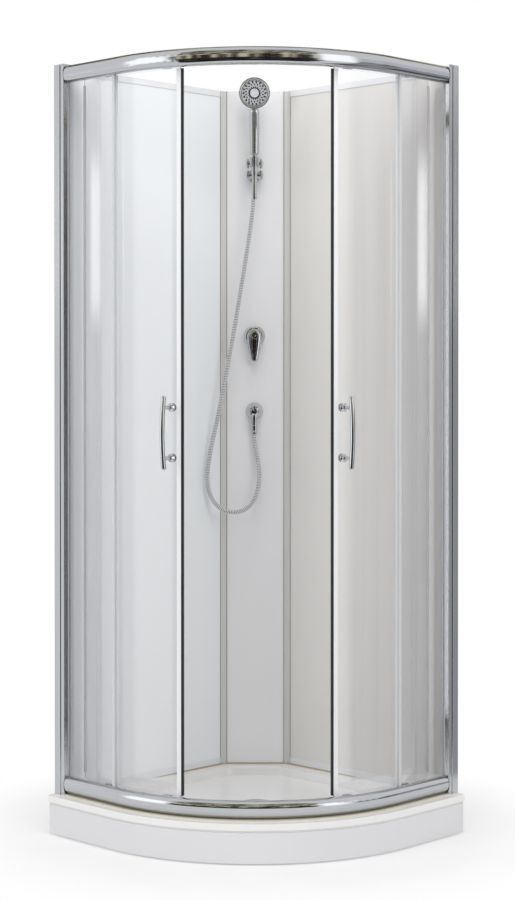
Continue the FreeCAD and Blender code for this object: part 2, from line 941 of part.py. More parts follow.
def rollers(hand):
    brackets = []
    for flip in (True, False):
        for i, theta in enumerate(roller_angles()):
            brackets.append(roller_bracket(theta, hand, flip))
            place = ("top" if flip else "bottom") + ("_front" if i == 0 else "_rear")
            wheel(f"{NAMES[hand]}_wheel_{place}", theta, hand, flip)
    group(NAMES[hand] + "_roller_brackets", brackets)


def handle(hand):
    """A bowed bar outside the glass on two stems, with round nuts inside."""
    name, theta = NAMES[hand], size("handleAngle")
    face = radius - door_inset()
    inside = face - size("glassThick")
    z, reach = size("handleMiddle"), size("handleHoles") / 2
    bow, stand, r = size("handleBow"), size("handleStand"), size("handleRadius")
    bar = new_body(name + "_handle_bar", arc_place(theta, hand))
    end = face + stand - bow
    chord = size("handleLength") / 2 - r
    arch = Part.Arc(Vector(end, z - chord, 0), Vector(face + stand, z, 0), Vector(end, z + chord, 0))
    spine = sketch_on(bar, "XZ_Plane", [arch])
    curve = (chord**2 + bow**2) / (2 * bow)
    slope = math.degrees(math.asin(chord / curve))
    section = sketch_on(bar, "XY_Plane", circle(0, 0, r))
    section.AttachmentOffset = Placement(Vector(end, 0, z - chord), Rotation(Vector(0, 1, 0), slope))
    doc.recompute()
    pipe(bar, section, spine)
    for sign in (-1, 1):
        ball = bar.newObject("PartDesign::AdditiveSphere", "Sphere")
        ball.AttachmentOffset = Placement(Vector(end, 0, z + sign * chord), Rotation())
        ball.AttachmentSupport = [(plane_of(bar, "XY_Plane"), "")]
        ball.MapMode = "FlatFace"
        bind(ball, "Radius", "handleRadius")
    at_stem = face + stand - curve + math.sqrt(curve**2 - reach**2)
    shank = size("stemRadius") - size("stemFit")
    for sign in (-1, 1):
        stem = sketch_on(bar, "YZ_Plane", circle(0, z + sign * reach, shank))
        stem.AttachmentOffset = Placement(Vector(0, 0, inside - size("nutGap")), Rotation())
        pad(bar, stem, f"{at_stem - inside:.4f}")
    washers, nuts = [], []
    knob = size("knobRadius")
    for sign in (-1, 1):
        outward = Placement(Vector(face, 0, z + sign * reach), Rotation(Vector(0, 1, 0), 90))
        washer = new_body(None, arc_place(theta, hand) * outward)
        hole = shank + 0.1
        collar = outline([(hole, 0.05), (knob, 0.05), (knob, 4, 2), (hole + 1.5, 9, 3), (hole + 1.5, 14, 1), (hole, 14)])
        revolve(washer, sketch_on(washer, "XZ_Plane", collar))
        washers.append(washer)
        gap = size("nutGap")
        inward = Placement(Vector(inside, 0, z + sign * reach), Rotation(Vector(0, 1, 0), -90))
        nut = new_body(None, arc_place(theta, hand) * inward)
        disc = outline([(0, gap), (knob, gap), (knob, 6, 2.5), (0, 7.5)])
        revolve(nut, sketch_on(nut, "XZ_Plane", disc))
        nuts.append(nut)
    group(name + "_handle_fixings", washers + nuts)


def lengthwise(label, loops, first, length, hand):
    """A section along one wall. The loops hold (off the wall, height) corners."""
    body = new_body(label, CORNER)
    edges = []
    for loop in loops:
        edges += outline(loop)
    role = "XZ_Plane" if hand == RIGHT else "YZ_Plane"
    sketch = sketch_on(body, role, edges, f"{-first if hand == RIGHT else first:.4f}")
    pad(body, sketch, length, flip=hand == RIGHT)
    return body


def lining():
    """Side panels and corner panel in aluminium profiles, standing on the tray's back ledge."""
    off, thick = size("panelOff"), size("panelThick")
    skin, start = size("profileSkin"), size("panelStart")
    end = side - size("railFront") - size("postDepth")
    low, tall = "rimTop - ledgeDrop", "totalTop - rimTop + ledgeDrop"
    foot, top = size("rimTop") - size("ledgeDrop"), rail_top
    tops, feet, corners = [], [], []
    for hand in (LEFT, RIGHT):
        panel = [(off, start), (off + thick, start), (off + thick, end), (off, end)]
        upright(NAMES[hand] + "_wall_panel", panel, low + " + profileSkin", tall + " - 2 * profileSkin", hand)
        first = start + size("panelSideBand") + 0.3
        for store, edge, sign, deep in (
            (tops, top, -1, size("panelTopBand")),
            (feet, foot, 1, size("panelFootBand")),
        ):
            near, far = off - skin, off + thick + skin
            web = edge + sign * skin
            lip = edge + sign * deep
            channel = [(near, edge), (far, edge), (far, lip), (far - skin, lip), (far - skin, web),
                       (near + skin, web), (near + skin, lip), (near, lip)]
            run = f"side - railFront - postDepth - {first:.4f}"
            store.append(lengthwise(None, [channel], first, run, hand))
    group("panel_top_profiles", tops)
    group("panel_foot_profiles", feet)
    half = corner_half()
    spot = Placement(Vector(0, middle - corner_plane(), 0), Rotation())
    panel = new_body("corner_panel", spot)
    flat = outline([(-half, 0), (half, 0), (half, thick), (-half, thick)])
    pad(panel, sketch_on(panel, "XY_Plane", flat, low), tall)
    holes = circle(size("fittingSide"), size("mixerHeight"), size("inletRadius") + 2)
    holes += circle(size("fittingSide"), size("outletHeight"), size("tailRadius") + 3)
    pocket(panel, sketch_on(panel, "XZ_Plane", holes), "panelThick + 1")
    wide = size("panelSideBand")
    for hand in (LEFT, RIGHT):
        strip = new_body(None, spot)
        meet, slant = half + 0.5, math.sqrt(0.5)
        tip = (meet + wide * slant, -wide * slant)
        shape = [(meet, 0), tip, (tip[0] - skin * slant, tip[1] - skin * slant),
                 (meet - skin * (math.sqrt(2) - 1), -skin), (meet - wide, -skin), (meet - wide, 0)]
        edges = outline([(hand * c[0], *c[1:]) for c in shape])
        pad(strip, sketch_on(strip, "XY_Plane", edges, low), tall)
        corners.append(strip)
    group("panel_corner_profiles", corners)


def corner_plane():
    """The distance of the corner panel's front face from the back corner, on the diagonal."""
    return (size("panelStart") + size("panelOff") + size("panelThick")) / math.sqrt(2)


def corner_half():
    """Half the corner panel's width."""
    return (size("panelStart") - size("panelOff") - size("panelThick")) / math.sqrt(2) - 0.5


def on_corner(height):
    """A frame on the corner panel's front face whose z axis points out into the shower."""
    spot = Vector(size("fittingSide"), middle - corner_plane(), height)
    return Placement(spot, Rotation(Vector(1, 0, 0), 90))


def mixer():
    """A concealed lever mixer: rose, body with hot and cold tails, turning spindle, tilting lever."""
    place = on_corner(size("mixerHeight"))
    rose = new_body("mixer_rose", place)
    r, body_r, tail = size("mixerRadius"), size("bodyRadius"), size("inletRadius")
    dish = outline([(body_r + 0.3, 0), (r, 0), (r, 3, 2.5), (body_r + 4, 8, 4), (body_r + 0.3, 9, 0.5)])
    revolve(rose, sketch_on(rose, "XZ_Plane", dish))
    core = new_body("mixer_body", place)
    back = -size("inletDepth")
    barrel = outline([(0, back - 10), (tail, back - 10, 2), (tail, 0), (body_r, 0), (body_r, 16, 2), (0, 16)])
    revolve(core, sketch_on(core, "XZ_Plane", barrel))
    reach, thread = size("inletSpread") / 2, size("tailRadius")
    shoulder = reach - size("threadLength")
    for sign in (LEFT, RIGHT):
        slope = math.radians(size("inletSlope"))
        along = Vector(sign * math.cos(slope), -math.sin(slope), 0)
        across = Vector(-along.y, along.x, 0)
        steps = [(0, 0), (thread + 3, 0), (thread + 3, shoulder), (thread, shoulder), (thread, reach), (0, reach)]
        points = [along * t + across * r for r, t in steps]
        tail_piece = sketch_on(core, "XY_Plane", outline([(p.x, p.y) for p in points]), "-inletDepth")
        tail_piece.addGeometry(Part.LineSegment(Vector(), along), True)
        revolve(core, tail_piece, axis="Axis0")
    spindle = new_body("mixer_spindle", place)
    face = 16.3
    disc = outline([(0, face), (body_r - 0.5, face, 1), (body_r - 0.5, face + 2.2, 1), (0, face + 2.2)])
    revolve(spindle, sketch_on(spindle, "XZ_Plane", disc))
    pin_y, pin_z, pin_r = size("leverPinUp"), size("leverPinOut"), size("leverPin")
    top = pin_y + 4
    block = outline([(-14, -12, 4), (14, -12, 4), (14, top, 2), (-14, top, 2)])
    pad(spindle, sketch_on(spindle, "XY_Plane", block, "leverPinOut - 6"), "9")
    pin = sketch_on(spindle, "YZ_Plane", circle(pin_y, pin_z, pin_r))
    pad(spindle, pin, "2 * leverLug + 8", both=True)
    lever = new_body("mixer_lever", place)
    blade = outline(
        [(-22, 19, 14), (22, 19, 14), (20.5, -20, 25), (9.5, -76, 9), (-9.5, -76, 9), (-20.5, -20, 25)]
    )
    pad(lever, sketch_on(lever, "XY_Plane", blade, "leverPinOut + 5.5"), "leverThick")
    under = pin_z + 6.5
    lug = outline([(pin_y - 3.5, under), (pin_y + 3.5, under), (pin_y + 3.5, pin_z - 3.5, 3.4),
                   (pin_y - 3.5, pin_z - 3.5, 3.4)]) + circle(pin_y, pin_z, pin_r + 0.08)
    for sign in (-1, 1):
        lift = "leverLug" if sign > 0 else "-leverLug - 4"
        pad(lever, sketch_on(lever, "YZ_Plane", lug, lift), "4")


def outlet():
    """The wall outlet: domed rose with a short neck turned down, and the hose's lower nut."""
    place = on_corner(size("outletHeight"))
    body = new_body("hose_outlet", place)
    r, tail = size("outletRadius"), size("tailRadius")
    root = size("threadLength") - 30
    dome = outline([(0, -30), (tail, -30), (tail, root), (tail + 2, root), (tail + 2, 0),
                    (r, 0), (r, 5, 3), (16, 24, 8), (8, 28, 4), (0, 29)])
    revolve(body, sketch_on(body, "XZ_Plane", dome))
    out = size("outletOut")
    neck = sketch_on(body, "XZ_Plane", circle(0, out, size("neckRadius")))
    pad(body, neck, "neckDrop")
    nut = new_body("outlet_hose_nut", Placement(Vector(*hose_end()), Rotation()))
    nut_profile(nut, size("outletHeight") - size("neckDrop") - hose_end()[2])


def nut_profile(body, tall):
    """A ferrule and a ribbed nut, standing on the hose's end."""
    big, small = size("nutRadius"), size("hoseRadius") + 1
    shape = outline([(0, 0), (small, 0, 0.6), (small, 7), (big, 10, 1), (big, tall - 1, 0.5), (0, tall - 1)])
    revolve(body, sketch_on(body, "XZ_Plane", shape))


def out_y(out):
    """The row frame's y of a point that stands out from the corner panel."""
    return middle - corner_plane() - out


def hose_start():
    return (size("fittingSide"), out_y(size("holderStand")), size("holderHeight") - 10)


def hose_end():
    drop = size("outletHeight") - size("neckDrop") - 26
    return (size("fittingSide"), out_y(size("outletOut")), drop)


def hose_route():
    """The hose from the handset's nut round its hanging loop to the outlet's nut, in the row frame.

    The loop's lowest point hangs loopDrop below the outlet. The long side's points stand at a share
    of the height from there to the holder, and the short side's at a height above it."""
    low = size("outletHeight") - size("loopDrop")
    high = hose_start()[2] - 42
    long_side = [
        (-3, 58, 1),
        (-11, 58, 0.914),
        (-26, 58, 0.807),
        (-46, 59, 0.673),
        (-70, 61, 0.523),
        (-92, 63, 0.394),
        (-113, 66, 0.282),
        (-132, 70, 0.191),
        (-142, 72, 0.116),
        (-134, 72, 0.055),
        (-104, 69, 0.014),
        (-60, 62, 0),
    ]
    short_side = [(-20, 53, 14), (6, 42, 55), (13, 31, 110), (6, 22, 162), (-3, 17, 203)]
    free = [(x, out, low + share * (high - low)) for x, out, share in long_side]
    free += [(x, out, low + rise) for x, out, rise in short_side]
    return [hose_start()] + [(x, out_y(out), z) for x, out, z in free] + [hose_end()]


def tangent_wire(points, share=0.45):
    """Straight runs joined by tangent arcs, each as large as the shorter of its two runs allows."""
    vectors = [Vector(*p) for p in points]
    edges, radii, last = [], [], vectors[0]
    for before, here, after in zip(vectors, vectors[1:], vectors[2:]):
        back, ahead = before - here, after - here
        reach = share * min(back.Length, ahead.Length)
        back.normalize()
        ahead.normalize()
        half_turn = (math.pi - back.getAngle(ahead)) / 2
        start, end = here + back * reach, here + ahead * reach
        r = reach / math.tan(half_turn)
        inward = back + ahead
        inward.normalize()
        nearest = here + inward * (r / math.cos(half_turn) - r)
        edges.append(Part.LineSegment(last, start).toShape())
        edges.append(Part.Arc(start, nearest, end).toShape())
        radii.append(r)
        last = end
    edges.append(Part.LineSegment(last, vectors[-1]).toShape())
    return Part.Wire(edges), radii


def hose():
    wire, radii = tangent_wire(hose_route())
    r = size("hoseRadius")
    start = Vector(*hose_start())
    ring = Part.Wire(Part.makeCircle(r, start, wire.Edges[0].tangentAt(0)))
    tube = wire.makePipeShell([ring], True, False)
    tube_node = doc.addObject("Part::Feature", "shower_hose")
    tube_node.Shape = tube
    as_node(tube_node, "shower_hose")
    print("hose radii", [round(v) for v in radii], "length", round(wire.Length, 1))
    print("hose volume over section times length", tube.Volume / (math.pi * r * r * wire.Length))


def holder():
    """The wall bracket with its fork and axle, and the swivelling slotted socket."""
    place = on_corner(size("holderHeight"))
    base = new_body("holder_base", place)
    pivot, knob = size("pivotOut"), size("pivotKnob")
    rose = outline([(0, 0), (20, 0), (20, 4, 2), (15, 7, 2), (0, 7)])
    revolve(base, sketch_on(base, "XZ_Plane", rose))
    arm = outline([(-8, 5), (8, 5), (knob, pivot, 4), (knob, pivot + knob, knob - 1), (-knob, pivot + knob, knob - 1),
                   (-knob, pivot, 4)])
    inner, outer = size("forkInner"), size("forkOuter")
    for sign in (-1, 1):
        lift = "forkInner" if sign > 0 else "-forkOuter"
        pad(base, sketch_on(base, "YZ_Plane", arm, lift), "forkOuter - forkInner")
    pad(base, sketch_on(base, "YZ_Plane", circle(0, pivot, size("pivotAxle"))), "2 * forkInner + 1", both=True)
    bridge = outline([(-8, 5), (8, 5), (8, 12, 2), (-8, 12, 2)])
    pad(base, sketch_on(base, "YZ_Plane", bridge), "2 * forkInner + 1", both=True)
    swivel = new_body("swivel_holder", place)
    width = inner - 0.3
    eye = size("pivotAxle") + 0.08
    stand, lift = size("holderStand"), size("socketAbove")
    barrel = knob - 2
    pad(swivel, sketch_on(swivel, "YZ_Plane", circle(0, pivot, barrel)), "2 * forkInner - 0.6", both=True)
    behind = stand - size("socketTop") - 0.6
    web = outline([(2, pivot - 5), (lift - 6, pivot + 2, 6), (lift + 8, behind - 2), (lift + 8, behind),
                   (lift - 10, behind, 6), (2, pivot + 6)])
    pad(swivel, sketch_on(swivel, "YZ_Plane", web), "14", both=True)
    r_top, r_foot, shell = size("socketTop"), size("socketFoot"), size("socketWall")
    tall = size("socketTall") / 2
    cone = outline([(r_foot, -tall), (r_foot + shell, -tall, 1), (r_top + shell, tall, 1), (r_top, tall)])
    socket = sketch_on(swivel, "XZ_Plane", cone)
    socket.MapMode = "FlatFace"
    socket.AttachmentSupport = [(plane_of(swivel, "YZ_Plane"), "")]
    socket.AttachmentOffset = Placement(Vector(lift, stand, 0), Rotation(Vector(0, 0, 1), -90))
    revolve(swivel, socket)
    screw = (lift - 2, behind - 5)
    pad(swivel, sketch_on(swivel, "YZ_Plane", circle(*screw, 5)), "2 * forkOuter - 2", both=True)
    for sign in (-1, 1):
        start = "forkOuter - 6" if sign > 0 else "-forkOuter"
        pad(swivel, sketch_on(swivel, "YZ_Plane", circle(*screw, 10), start), "6")
    bore = sketch_on(swivel, "XZ_Plane", circle(0, stand, r_foot), f"{-lift - tall - 1:.3f}")
    drill = pocket(swivel, bore, "2 * socketTall")
    drill.Midplane = True
    slot = outline([(-8.2, stand), (8.2, stand), (8.2, stand + 30), (-8.2, stand + 30)])
    front = sketch_on(swivel, "XZ_Plane", slot, f"{-lift:.3f}")
    gap = pocket(swivel, front, "2 * socketTall")
    gap.Midplane = True
    pin = pocket(swivel, sketch_on(swivel, "YZ_Plane", circle(0, pivot, eye)), "3 * forkOuter")
    pin.Midplane = True


def handset():
    """The hand shower: tapered handle with a round head, spray plate, hub and hose nut."""
    spot = Vector(size("fittingSide"), out_y(size("holderStand")), 0)
    low = size("holderHeight") + size("socketAbove") - size("socketTall") / 2 - 2
    top = size("handsetTop") - size("headRadius")
    fit = size("socketFit")
    r_top, r_foot, tall = size("socketTop") - fit, size("socketFoot") - fit, size("socketTall")
    handle_body = new_body(None, Placement(spot, Rotation()))
    grow = (r_top - r_foot) / tall
    grip, neck_step = size("gripRadius"), 2.4
    shape = outline(
        [
            (0, low),
            (r_foot - 2 * grow, low, 1),
            (r_top + 2 * grow, low + tall + 4),
            (r_top - neck_step, low + tall + 6),
            (r_top - neck_step, low + tall + 10),
            (grip - 1.5, low + tall + 12, 3),
            (grip, top - 8, 20),
            (11, top + 6, 5),
            (0, top + 10),
        ]
    )
    revolve(handle_body, sketch_on(handle_body, "XZ_Plane", shape))
    head_place = Placement(
        Vector(spot.x, spot.y - size("headAhead"), size("handsetTop")), Rotation(Vector(1, 0, 0), 90 + size("headTilt"))
    )
    r = size("headRadius")
    shell = new_body(None, head_place)
    back = outline([(0, -16), (24, -15, 20), (r - 3, -2, 12), (r, 5, 3), (r, 11, 2), (r - 4, 11), (r - 4, 8), (0, 8)])
    revolve(shell, sketch_on(shell, "XZ_Plane", back))
    fused("handset_body", [handle_body, shell])
    plate = new_body("spray_plate", head_place)
    disc = outline([(14, 8), (r - 4.3, 8), (r - 4.3, 11.5, 1), (14, 12.5)])
    revolve(plate, sketch_on(plate, "XZ_Plane", disc))
    hub = new_body("spray_hub", head_place)
    boss = outline([(0, 8), (13.7, 8), (13.7, 13.5, 1), (10.5, 13.5, 0.6), (9.5, 12.3), (0, 12.8)])
    revolve(hub, sketch_on(hub, "XZ_Plane", boss))
    nut = new_body("handset_hose_nut", Placement(Vector(*hose_start()), Rotation()))
    nut_profile(nut, low - hose_start()[2] + 1)


shower_tray()
tray_apron()
underframe()
drain()
rails()
rail_plugs()
posts()
fixed_glazing()
for hand in (LEFT, RIGHT):
    door_glass(hand)
    door_seals(hand)
    rollers(hand)
    handle(hand)
lining()
mixer()
outlet()
holder()
handset()
hose()

doc.recompute()
os.makedirs("parts", exist_ok=True)
problems = [f"{o.Label} {o.Name} {o.State}" for o in doc.Objects if "Invalid" in o.State or "Error" in o.State]
for node in nodes:
    if node.Shape.isNull() or not node.Shape.isValid():
        problems.append(f"{node.Label} has no valid shape")
if problems:
    raise RuntimeError("; ".join(problems))
for node in nodes:
    node.Shape.exportStep(f"parts/{node.Label}.step")
    box = node.Shape.BoundBox
    print(f"{node.Label:28s} {node.Shape.Volume:12.0f} x {box.XMin:8.1f} {box.XMax:8.1f} "
          f"y {box.YMin:8.1f} {box.YMax:8.1f} z {box.ZMin:8.1f} {box.ZMax:8.1f}")
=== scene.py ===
"""Looks for a quadrant shower enclosure: chromed frame, curved glass, tray, mixer and hand shower."""

import bmesh
import bpy
import numpy as np
from bpy.props import FloatProperty, IntProperty, PointerProperty, StringProperty
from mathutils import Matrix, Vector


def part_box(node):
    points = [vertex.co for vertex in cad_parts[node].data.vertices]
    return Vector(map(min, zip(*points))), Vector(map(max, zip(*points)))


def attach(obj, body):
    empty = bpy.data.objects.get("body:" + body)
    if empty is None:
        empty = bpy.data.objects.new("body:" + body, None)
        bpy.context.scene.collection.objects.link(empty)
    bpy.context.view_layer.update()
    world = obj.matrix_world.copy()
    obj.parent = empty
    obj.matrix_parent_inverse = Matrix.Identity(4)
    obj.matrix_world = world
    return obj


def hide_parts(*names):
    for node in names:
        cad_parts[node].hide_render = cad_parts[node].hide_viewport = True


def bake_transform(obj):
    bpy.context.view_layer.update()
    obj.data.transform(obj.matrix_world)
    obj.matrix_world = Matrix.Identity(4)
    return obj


bl_info = {
    "name": "Quadrant Shower Looks",
    "version": (1, 0, 0),
    "blender": (4, 5, 0),
    "location": "View3D > Sidebar > Shower",
    "description": "Materials and fine pieces for a quadrant shower enclosure",
    "category": "Object",
}

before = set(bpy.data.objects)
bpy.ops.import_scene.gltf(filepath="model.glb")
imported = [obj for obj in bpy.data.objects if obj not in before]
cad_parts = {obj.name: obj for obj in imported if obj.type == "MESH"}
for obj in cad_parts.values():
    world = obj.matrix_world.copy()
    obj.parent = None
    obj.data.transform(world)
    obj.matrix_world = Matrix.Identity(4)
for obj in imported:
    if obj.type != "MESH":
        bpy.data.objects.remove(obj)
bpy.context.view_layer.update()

# Sizes are in metres.
ARC_Y = 0.1007  # the axis that the doors and the front of the rails turn about
FLOOR_REACH = 1.25  # radius of the floor's disc
PAD_TOP = 0.011  # top of a foot's rubber pad

# The hose's centre line from the hand shower's nut round its hanging loop to the wall outlet's nut.
HOSE_ROUTE = [
    (-0.003, 0.28312, 1.812),
    (-0.003, 0.28312, 1.770),
    (-0.011, 0.28312, 1.690),
    (-0.026, 0.28312, 1.590),
    (-0.046, 0.28212, 1.465),
    (-0.070, 0.28012, 1.325),
    (-0.092, 0.27812, 1.205),
    (-0.113, 0.27512, 1.100),
    (-0.132, 0.27112, 1.015),
    (-0.142, 0.26912, 0.945),
    (-0.134, 0.26912, 0.888),
    (-0.104, 0.27212, 0.850),
    (-0.060, 0.27912, 0.837),
    (-0.020, 0.28812, 0.851),
    (0.006, 0.29912, 0.892),
    (0.013, 0.31012, 0.947),
    (0.006, 0.31912, 0.999),
    (-0.003, 0.32412, 1.040),
    (-0.003, 0.32412, 1.066),
]
FITTINGS_X = HOSE_ROUTE[0][0]  # the upright plane through the middle of all the fittings
RINGS_PER_TURN, HOSE_SIDES = 8, 20  # the hose's mesh: rings in a turn of the winding, and points in a ring

# The sleeve on the hose's top end, as (radius, height) corners from its top down the outside to its foot.
SLEEVE_WALL = np.array(
    [(0.0070, 1.816), (0.0078, 1.8155), (0.0082, 1.812), (0.0082, 1.756), (0.0078, 1.749), (0.0070, 1.7485)]
)

# The spray face: radius of the inner and outer ring of nozzles, size of the nozzles there as a share of the
# full size, and how far each oval leans from pointing outwards, as a cosine and a sine.
RING_RADII, RING_SHARES, NOZZLE_LEAN = (0.0180, 0.0315), (0.6, 1.0), (0.94, 0.34)
# A nozzle's dome from its sunk foot to its top: share of its width, share of its rise.
NOZZLE_DOME = np.array([(1.0, -0.6), (0.97, 0.35), (0.75, 0.85), (0.35, 1.0)])
# Round sections swept round the face: radius of the sweep, half its width, half its height.
HUB_RING = (0.0143, 0.0019, 0.0017)
BEZEL_INSET, BEZEL_HALF, BEZEL_RISE = 0.0028, 0.0034, 0.0022  # swept this far in from the plate's edge
NOZZLE_SIDES, SWEEP_STEPS = 12, 72  # points round a nozzle or a ring's section, and round the face

# A holder's knob, as (distance from the fittings' middle, radius) along its screw. It is fluted where its
# radius is past a limit, with a number of flutes as deep as a share of the radius.
KNOB_PROFILE = np.array(
    [
        (0.0153, 0.0118),
        (0.0157, 0.0128),
        (0.0175, 0.0140),
        (0.0205, 0.0140),
        (0.0232, 0.0122),
        (0.0250, 0.0080),
        (0.0256, 0.0030),
    ]
)
FLUTED_FROM, FLUTES, FLUTE_DEPTH, KNOB_SIDES = 0.011, 14, 0.035, 80
# The pieces with knobs: name, body, the screw's place (y, z) and the knobs' scale.
KNOBS = (
    ("swivel_knobs", "swivel_holder", (0.3001, 1.8540), 1.0),
    ("pivot_knobs", "enclosure", (0.3101, 1.8220), 0.94),
)

# The lever: half-width at its tip, height of its crown, and its back's bulge as a share of the crown.
LEVER_TIP, LEVER_CROWN, BACK_BULGE = 0.0118, 0.0110, 0.06
# Powers of its taper, of its section and of the crown's fall towards the tip.
TAPER_POWER, SECTION_POWER, FALL_POWER = 1.5, 0.8, 0.45
# Its rings, the points in a ring, and the angle that keeps the end rings off the very ends.
LEVER_ROWS, LEVER_SIDES, LEVER_POLE = 60, 40, 0.02
DISH_DEPTH, DISH_DROP, DISH_REACH = 0.0016, 0.017, 0.007  # the dish: depth, distance below the top, reach
PIN_HEIGHT, PIN_BACK = 1.365, 0.0175  # the pin's height, and its distance behind the lever's front
# The ears: radius, inner and outer face, and length of the tail that joins them to the tongue. The tail is
# drawn out of the side that looks forward, past a cosine.
EAR_RADIUS, EAR_FACES, EAR_TAIL, EAR_FORWARD, EAR_SIDES = 0.0035, (0.0144, 0.0189), 0.0078, -0.3, 24

# The sealant: radius of the bead, its place from the foot profiles' ends, fronts and undersides, and its
# bend's place from the corner panel's edges.
BEAD_RADIUS, BEAD_END, BEAD_BACK, BEAD_LIFT, BEAD_BEND = 0.0028, 0.006, 0.008, 0.0015, 0.0025
BEAD_STEPS, BEAD_SIDES = 61, 12

# The camera's place, its tilt and turn in radians and its shift, fitted to the object's edges in the
# photograph.
EYE_PLACE, EYE_TILT, EYE_TURN, EYE_SHIFT = (-0.0423, -5.1286, 1.225), -0.011, -0.0089, -0.0553
# What chrome mirrors, in linear light: pale walls, a lamp's soft disc, a thin bright strip.
PALE_WALLS, LAMP_GLOW, STRIP_GLOW = (0.84, 0.84, 0.86, 1.0), (1.6, 1.6, 1.6, 1.0), (3.2, 3.2, 3.2, 1.0)


def to_linear(code, alpha=1.0):
    """An sRGB hex colour as linear red, green, blue and alpha."""
    channels = np.array([int(code[i : i + 2], 16) for i in (1, 3, 5)]) / 255
    linear = np.where(channels <= 0.04045, channels / 12.92, ((channels + 0.055) / 1.055) ** 2.4)
    return (*linear.tolist(), alpha)


def dimmed(colour, share):
    """A linear colour at a share of its brightness."""
    return (*(c * share for c in colour[:3]), 1.0)


def hex_colour(name, description, default):
    return StringProperty(name=name, description=description, default=default)


def distance(name, description, default):
    words = {"name": name, "description": description}
    return FloatProperty(**words, default=default, min=0.0, unit="LENGTH", precision=4)


def strength(name, description, default):
    return FloatProperty(name=name, description=description, default=default, min=0.0)


class TrayLook(bpy.types.PropertyGroup):
    """Colours of the tray and its panel."""

    acrylic: hex_colour("Tray", "Gloss white acrylic of the tray", "#F0EFEE")
    apron: hex_colour("Apron", "Front panel, a shade greyer than the tray", "#E0E0E2")
    silicone: hex_colour("Silicone", "Sealing line between rail and tray", "#DCD6C4")


class FrameLook(bpy.types.PropertyGroup):
    """Colours and finish of the chromed frame."""

    chrome: hex_colour("Chrome", "Polished chrome on brass and plastic", "#D5D7DA")
    profile: hex_colour("Profile", "Bright chromed aluminium profile", "#CFD1D4")
    line_pitch: distance("Drawing lines", "Spacing of a profile's lines, coarse enough to show", 0.0012)


class GlassLook(bpy.types.PropertyGroup):
    """Colours of the panes and their seals."""

    clear: hex_colour("Clear glass", "Light passed through the panes", "#FEFEFF")
    edge: hex_colour("Glass edge", "Grey-green of the ground edges", "#7E9691")
    seal: hex_colour("Seal", "Lilac-white translucent PVC", "#FAFAFD")
    magnet: hex_colour("Magnet", "Rubber-bound magnet strip", "#1C1C1F")


class LiningLook(bpy.types.PropertyGroup):
    """Colours of the wall lining."""

    left: hex_colour("Left panel", "Cool white panel", "#F1F4F6")
    corner: hex_colour("Corner panel", "Light grey panel", "#EFEFF0")
    right: hex_colour("Right panel", "Warm grey panel", "#E4E2DE")
    trim: hex_colour("Trim", "White lacquered trim", "#EBECEE")
    corner_trim: hex_colour("Corner trim", "Pale lacquered trim in the corners", "#D3D2CE")


class HoseSizes(bpy.types.PropertyGroup):
    """Sizes and colour of the metal hose."""

    diameter: distance("Diameter", "Outside diameter of the wound metal hose", 0.0136)
    pitch: distance("Pitch", "Distance from one turn of the winding to the next", 0.0048)
    groove: distance("Groove", "Depth of the groove between two turns", 0.0011)
    strip: hex_colour("Strip", "Bright chrome of the wound strip", "#F1F2F4")


class SpraySizes(bpy.types.PropertyGroup):
    """Sizes of the hand shower's spray face."""

    rings: IntProperty(name="Rings", description="Rings of nozzles", default=3, min=1, max=5)
    number: IntProperty(name="Number", description="Nozzles in a ring", default=18, min=4, max=24)
    length: distance("Nozzle length", "Long way of the oval nozzle", 0.0074)
    width: distance("Nozzle width", "Short way of the oval nozzle", 0.0045)
    rise: distance("Nozzle rise", "How far a nozzle stands out", 0.0016)


class StudioLook(bpy.types.PropertyGroup):
    """The floor, the light and the camera."""

    floor: hex_colour("Floor", "Pale floor", "#F4F4F4")
    left: strength("Left", "Power of the lamp on the left", 36.0)
    right: strength("Right", "Power of the lamp on the right", 25.0)
    top: strength("Top", "Power of the overhead lamp", 42.0)
    sky: strength("Sky", "Strength of the surrounding light", 0.72)
    room: hex_colour("Room", "Dark of the room that chrome mirrors to the front and back", "#1C1918")
    windows: hex_colour("Windows", "Pale patches in that room", "#E6E0C6")
    lens: FloatProperty(name="Lens", description="Focal length in mm on a 36 mm tall frame", default=74.5)


class ShowerLook(bpy.types.PropertyGroup):
    """All settings of the shower's looks."""

    tray: PointerProperty(type=TrayLook)
    metal: PointerProperty(type=FrameLook)
    glass: PointerProperty(type=GlassLook)
    lining: PointerProperty(type=LiningLook)
    hose: PointerProperty(type=HoseSizes)
    spray: PointerProperty(type=SpraySizes)
    studio: PointerProperty(type=StudioLook)


def look():
    return bpy.context.scene.shower_look


def add(tree, kind, inputs=None, **settings):
    """A shader node with its own settings and its inputs. An input goes by its name or number, and takes a
    constant, an output of another node, or a node, whose first output in use it reads."""
    new = tree.nodes.new("ShaderNode" + kind)
    for name, value in settings.items():
        setattr(new, name, value)
    for name, source in (inputs or {}).items():
        named = [s for s in new.inputs if s.enabled and s.name == name]
        socket = named[0] if named else new.inputs[name]
        if isinstance(source, bpy.types.Node):
            source = next(s for s in source.outputs if s.enabled)
        if isinstance(source, bpy.types.NodeSocket):
            tree.links.new(socket, source)
        else:
            socket.default_value = source
    return new


def new_material(name):
    """An empty node material and its tree."""
    material = bpy.data.materials.new(name)
    material.use_nodes = True
    material.node_tree.nodes.clear()
    return material, material.node_tree


def coat(material, surface):
    """The material, ended in a principled surface with these inputs."""
    tree = material.node_tree
    add(tree, "OutputMaterial", {"Surface": add(tree, "BsdfPrincipled", surface)})
    return material


def coordinates(tree, scale=(1.0, 1.0, 1.0)):
    """Object coordinates in metres, stretched by scale. On them, a Scale of 250 makes cells of 4 mm."""
    place = add(tree, "TexCoord").outputs["Object"]
    return add(tree, "Mapping", {"Vector": place, "Scale": scale})


